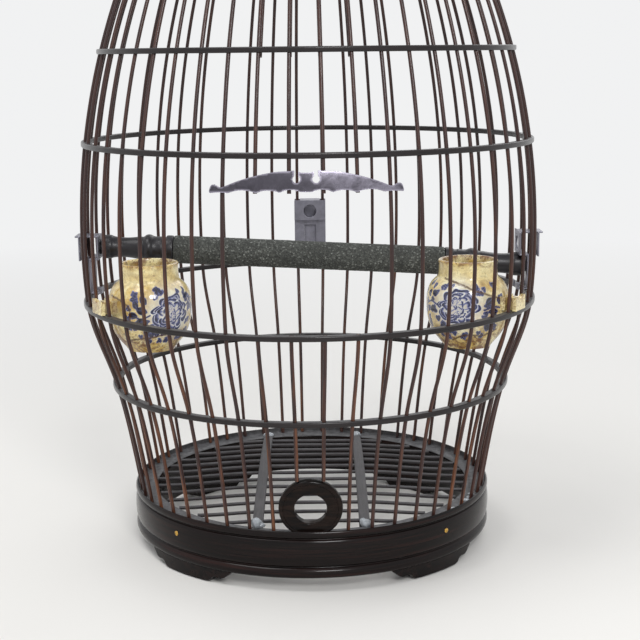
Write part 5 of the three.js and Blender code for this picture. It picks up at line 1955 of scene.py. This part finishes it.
class BIRDCAGE_OT_floor_rods(bpy.types.Operator):
    """The thin rods of the floor."""

    bl_idname = "birdcage.floor_rods"
    bl_label = "Floor Rods"

    def execute(self, context):
        floor_rods()
        return {"FINISHED"}


class BIRDCAGE_OT_floor_battens(bpy.types.Operator):
    """The two flat battens of the floor."""

    bl_idname = "birdcage.floor_battens"
    bl_label = "Floor Battens"

    def execute(self, context):
        floor_battens()
        return {"FINISHED"}


class BIRDCAGE_OT_glue_drops(bpy.types.Operator):
    """Drops of old glue on the ledge."""

    bl_idname = "birdcage.glue_drops"
    bl_label = "Glue Drops"

    def execute(self, context):
        glue_drops()
        return {"FINISHED"}


class BIRDCAGE_OT_port(bpy.types.Operator):
    """The round port at the front."""

    bl_idname = "birdcage.port"
    bl_label = "Port"

    def execute(self, context):
        port()
        return {"FINISHED"}


class BIRDCAGE_OT_door_plate(bpy.types.Operator):
    """The bat-shaped plate of the door."""

    bl_idname = "birdcage.door_plate"
    bl_label = "Door Plate"

    def execute(self, context):
        door_plate()
        return {"FINISHED"}


class BIRDCAGE_OT_brackets(bpy.types.Operator):
    """The three brackets of bent sheet."""

    bl_idname = "birdcage.brackets"
    bl_label = "Brackets"

    def execute(self, context):
        brackets()
        return {"FINISHED"}


class BIRDCAGE_OT_perch(bpy.types.Operator):
    """The perch and its turned ends."""

    bl_idname = "birdcage.perch"
    bl_label = "Perch"

    def execute(self, context):
        perch()
        return {"FINISHED"}


class BIRDCAGE_OT_pots(bpy.types.Operator):
    """The two painted pots."""

    bl_idname = "birdcage.pots"
    bl_label = "Pots"

    def execute(self, context):
        pots()
        return {"FINISHED"}


class BIRDCAGE_OT_crown(bpy.types.Operator):
    """The crown's disc, collar and cap."""

    bl_idname = "birdcage.crown"
    bl_label = "Crown"

    def execute(self, context):
        crown()
        return {"FINISHED"}


class BIRDCAGE_OT_hook(bpy.types.Operator):
    """The hook, its washer and its nut."""

    bl_idname = "birdcage.hook"
    bl_label = "Hook"

    def execute(self, context):
        hook()
        return {"FINISHED"}


class BIRDCAGE_OT_stage(bpy.types.Operator):
    """The floor, the lamps and the camera."""

    bl_idname = "birdcage.stage"
    bl_label = "Stage"

    def execute(self, context):
        stage()
        return {"FINISHED"}


PIECE_OPERATORS = (
    BIRDCAGE_OT_wall_bars,
    BIRDCAGE_OT_crown_bars,
    BIRDCAGE_OT_door_bars,
    BIRDCAGE_OT_lower_bars,
    BIRDCAGE_OT_hoops,
    BIRDCAGE_OT_base,
    BIRDCAGE_OT_feet,
    BIRDCAGE_OT_floor_rods,
    BIRDCAGE_OT_floor_battens,
    BIRDCAGE_OT_glue_drops,
    BIRDCAGE_OT_port,
    BIRDCAGE_OT_door_plate,
    BIRDCAGE_OT_brackets,
    BIRDCAGE_OT_perch,
    BIRDCAGE_OT_pots,
    BIRDCAGE_OT_crown,
    BIRDCAGE_OT_hook,
    BIRDCAGE_OT_stage,
)


class BIRDCAGE_PT_pieces(bpy.types.Panel):
    """Lists the cage's pieces, sizes and colours."""

    bl_label = "Birdcage"
    bl_space_type = "VIEW_3D"
    bl_region_type = "UI"
    bl_category = "Birdcage"

    def draw(self, context):
        pieces = self.layout.column(align=True)
        for operator in PIECE_OPERATORS:
            pieces.operator(operator.bl_idname)
        for group in (context.scene.birdcage_sizes, context.scene.birdcage_colours):
            values = self.layout.box().column()
            for key in group.__annotations__:
                values.prop(group, key)


CLASSES = (BirdcageSizes, BirdcageColours, *PIECE_OPERATORS, BIRDCAGE_PT_pieces)


def register():
    for kind in CLASSES:
        bpy.utils.register_class(kind)
    bpy.types.Scene.birdcage_sizes = bpy.props.PointerProperty(type=BirdcageSizes)
    bpy.types.Scene.birdcage_colours = bpy.props.PointerProperty(type=BirdcageColours)


def unregister():
    del bpy.types.Scene.birdcage_sizes
    del bpy.types.Scene.birdcage_colours
    for kind in reversed(CLASSES):
        bpy.utils.unregister_class(kind)


def main():
    """Registers the add-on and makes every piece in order."""
    register()
    for operator in PIECE_OPERATORS:
        getattr(bpy.ops.birdcage, operator.bl_idname.split(".")[1])()


if __name__ == "__main__":
    main()
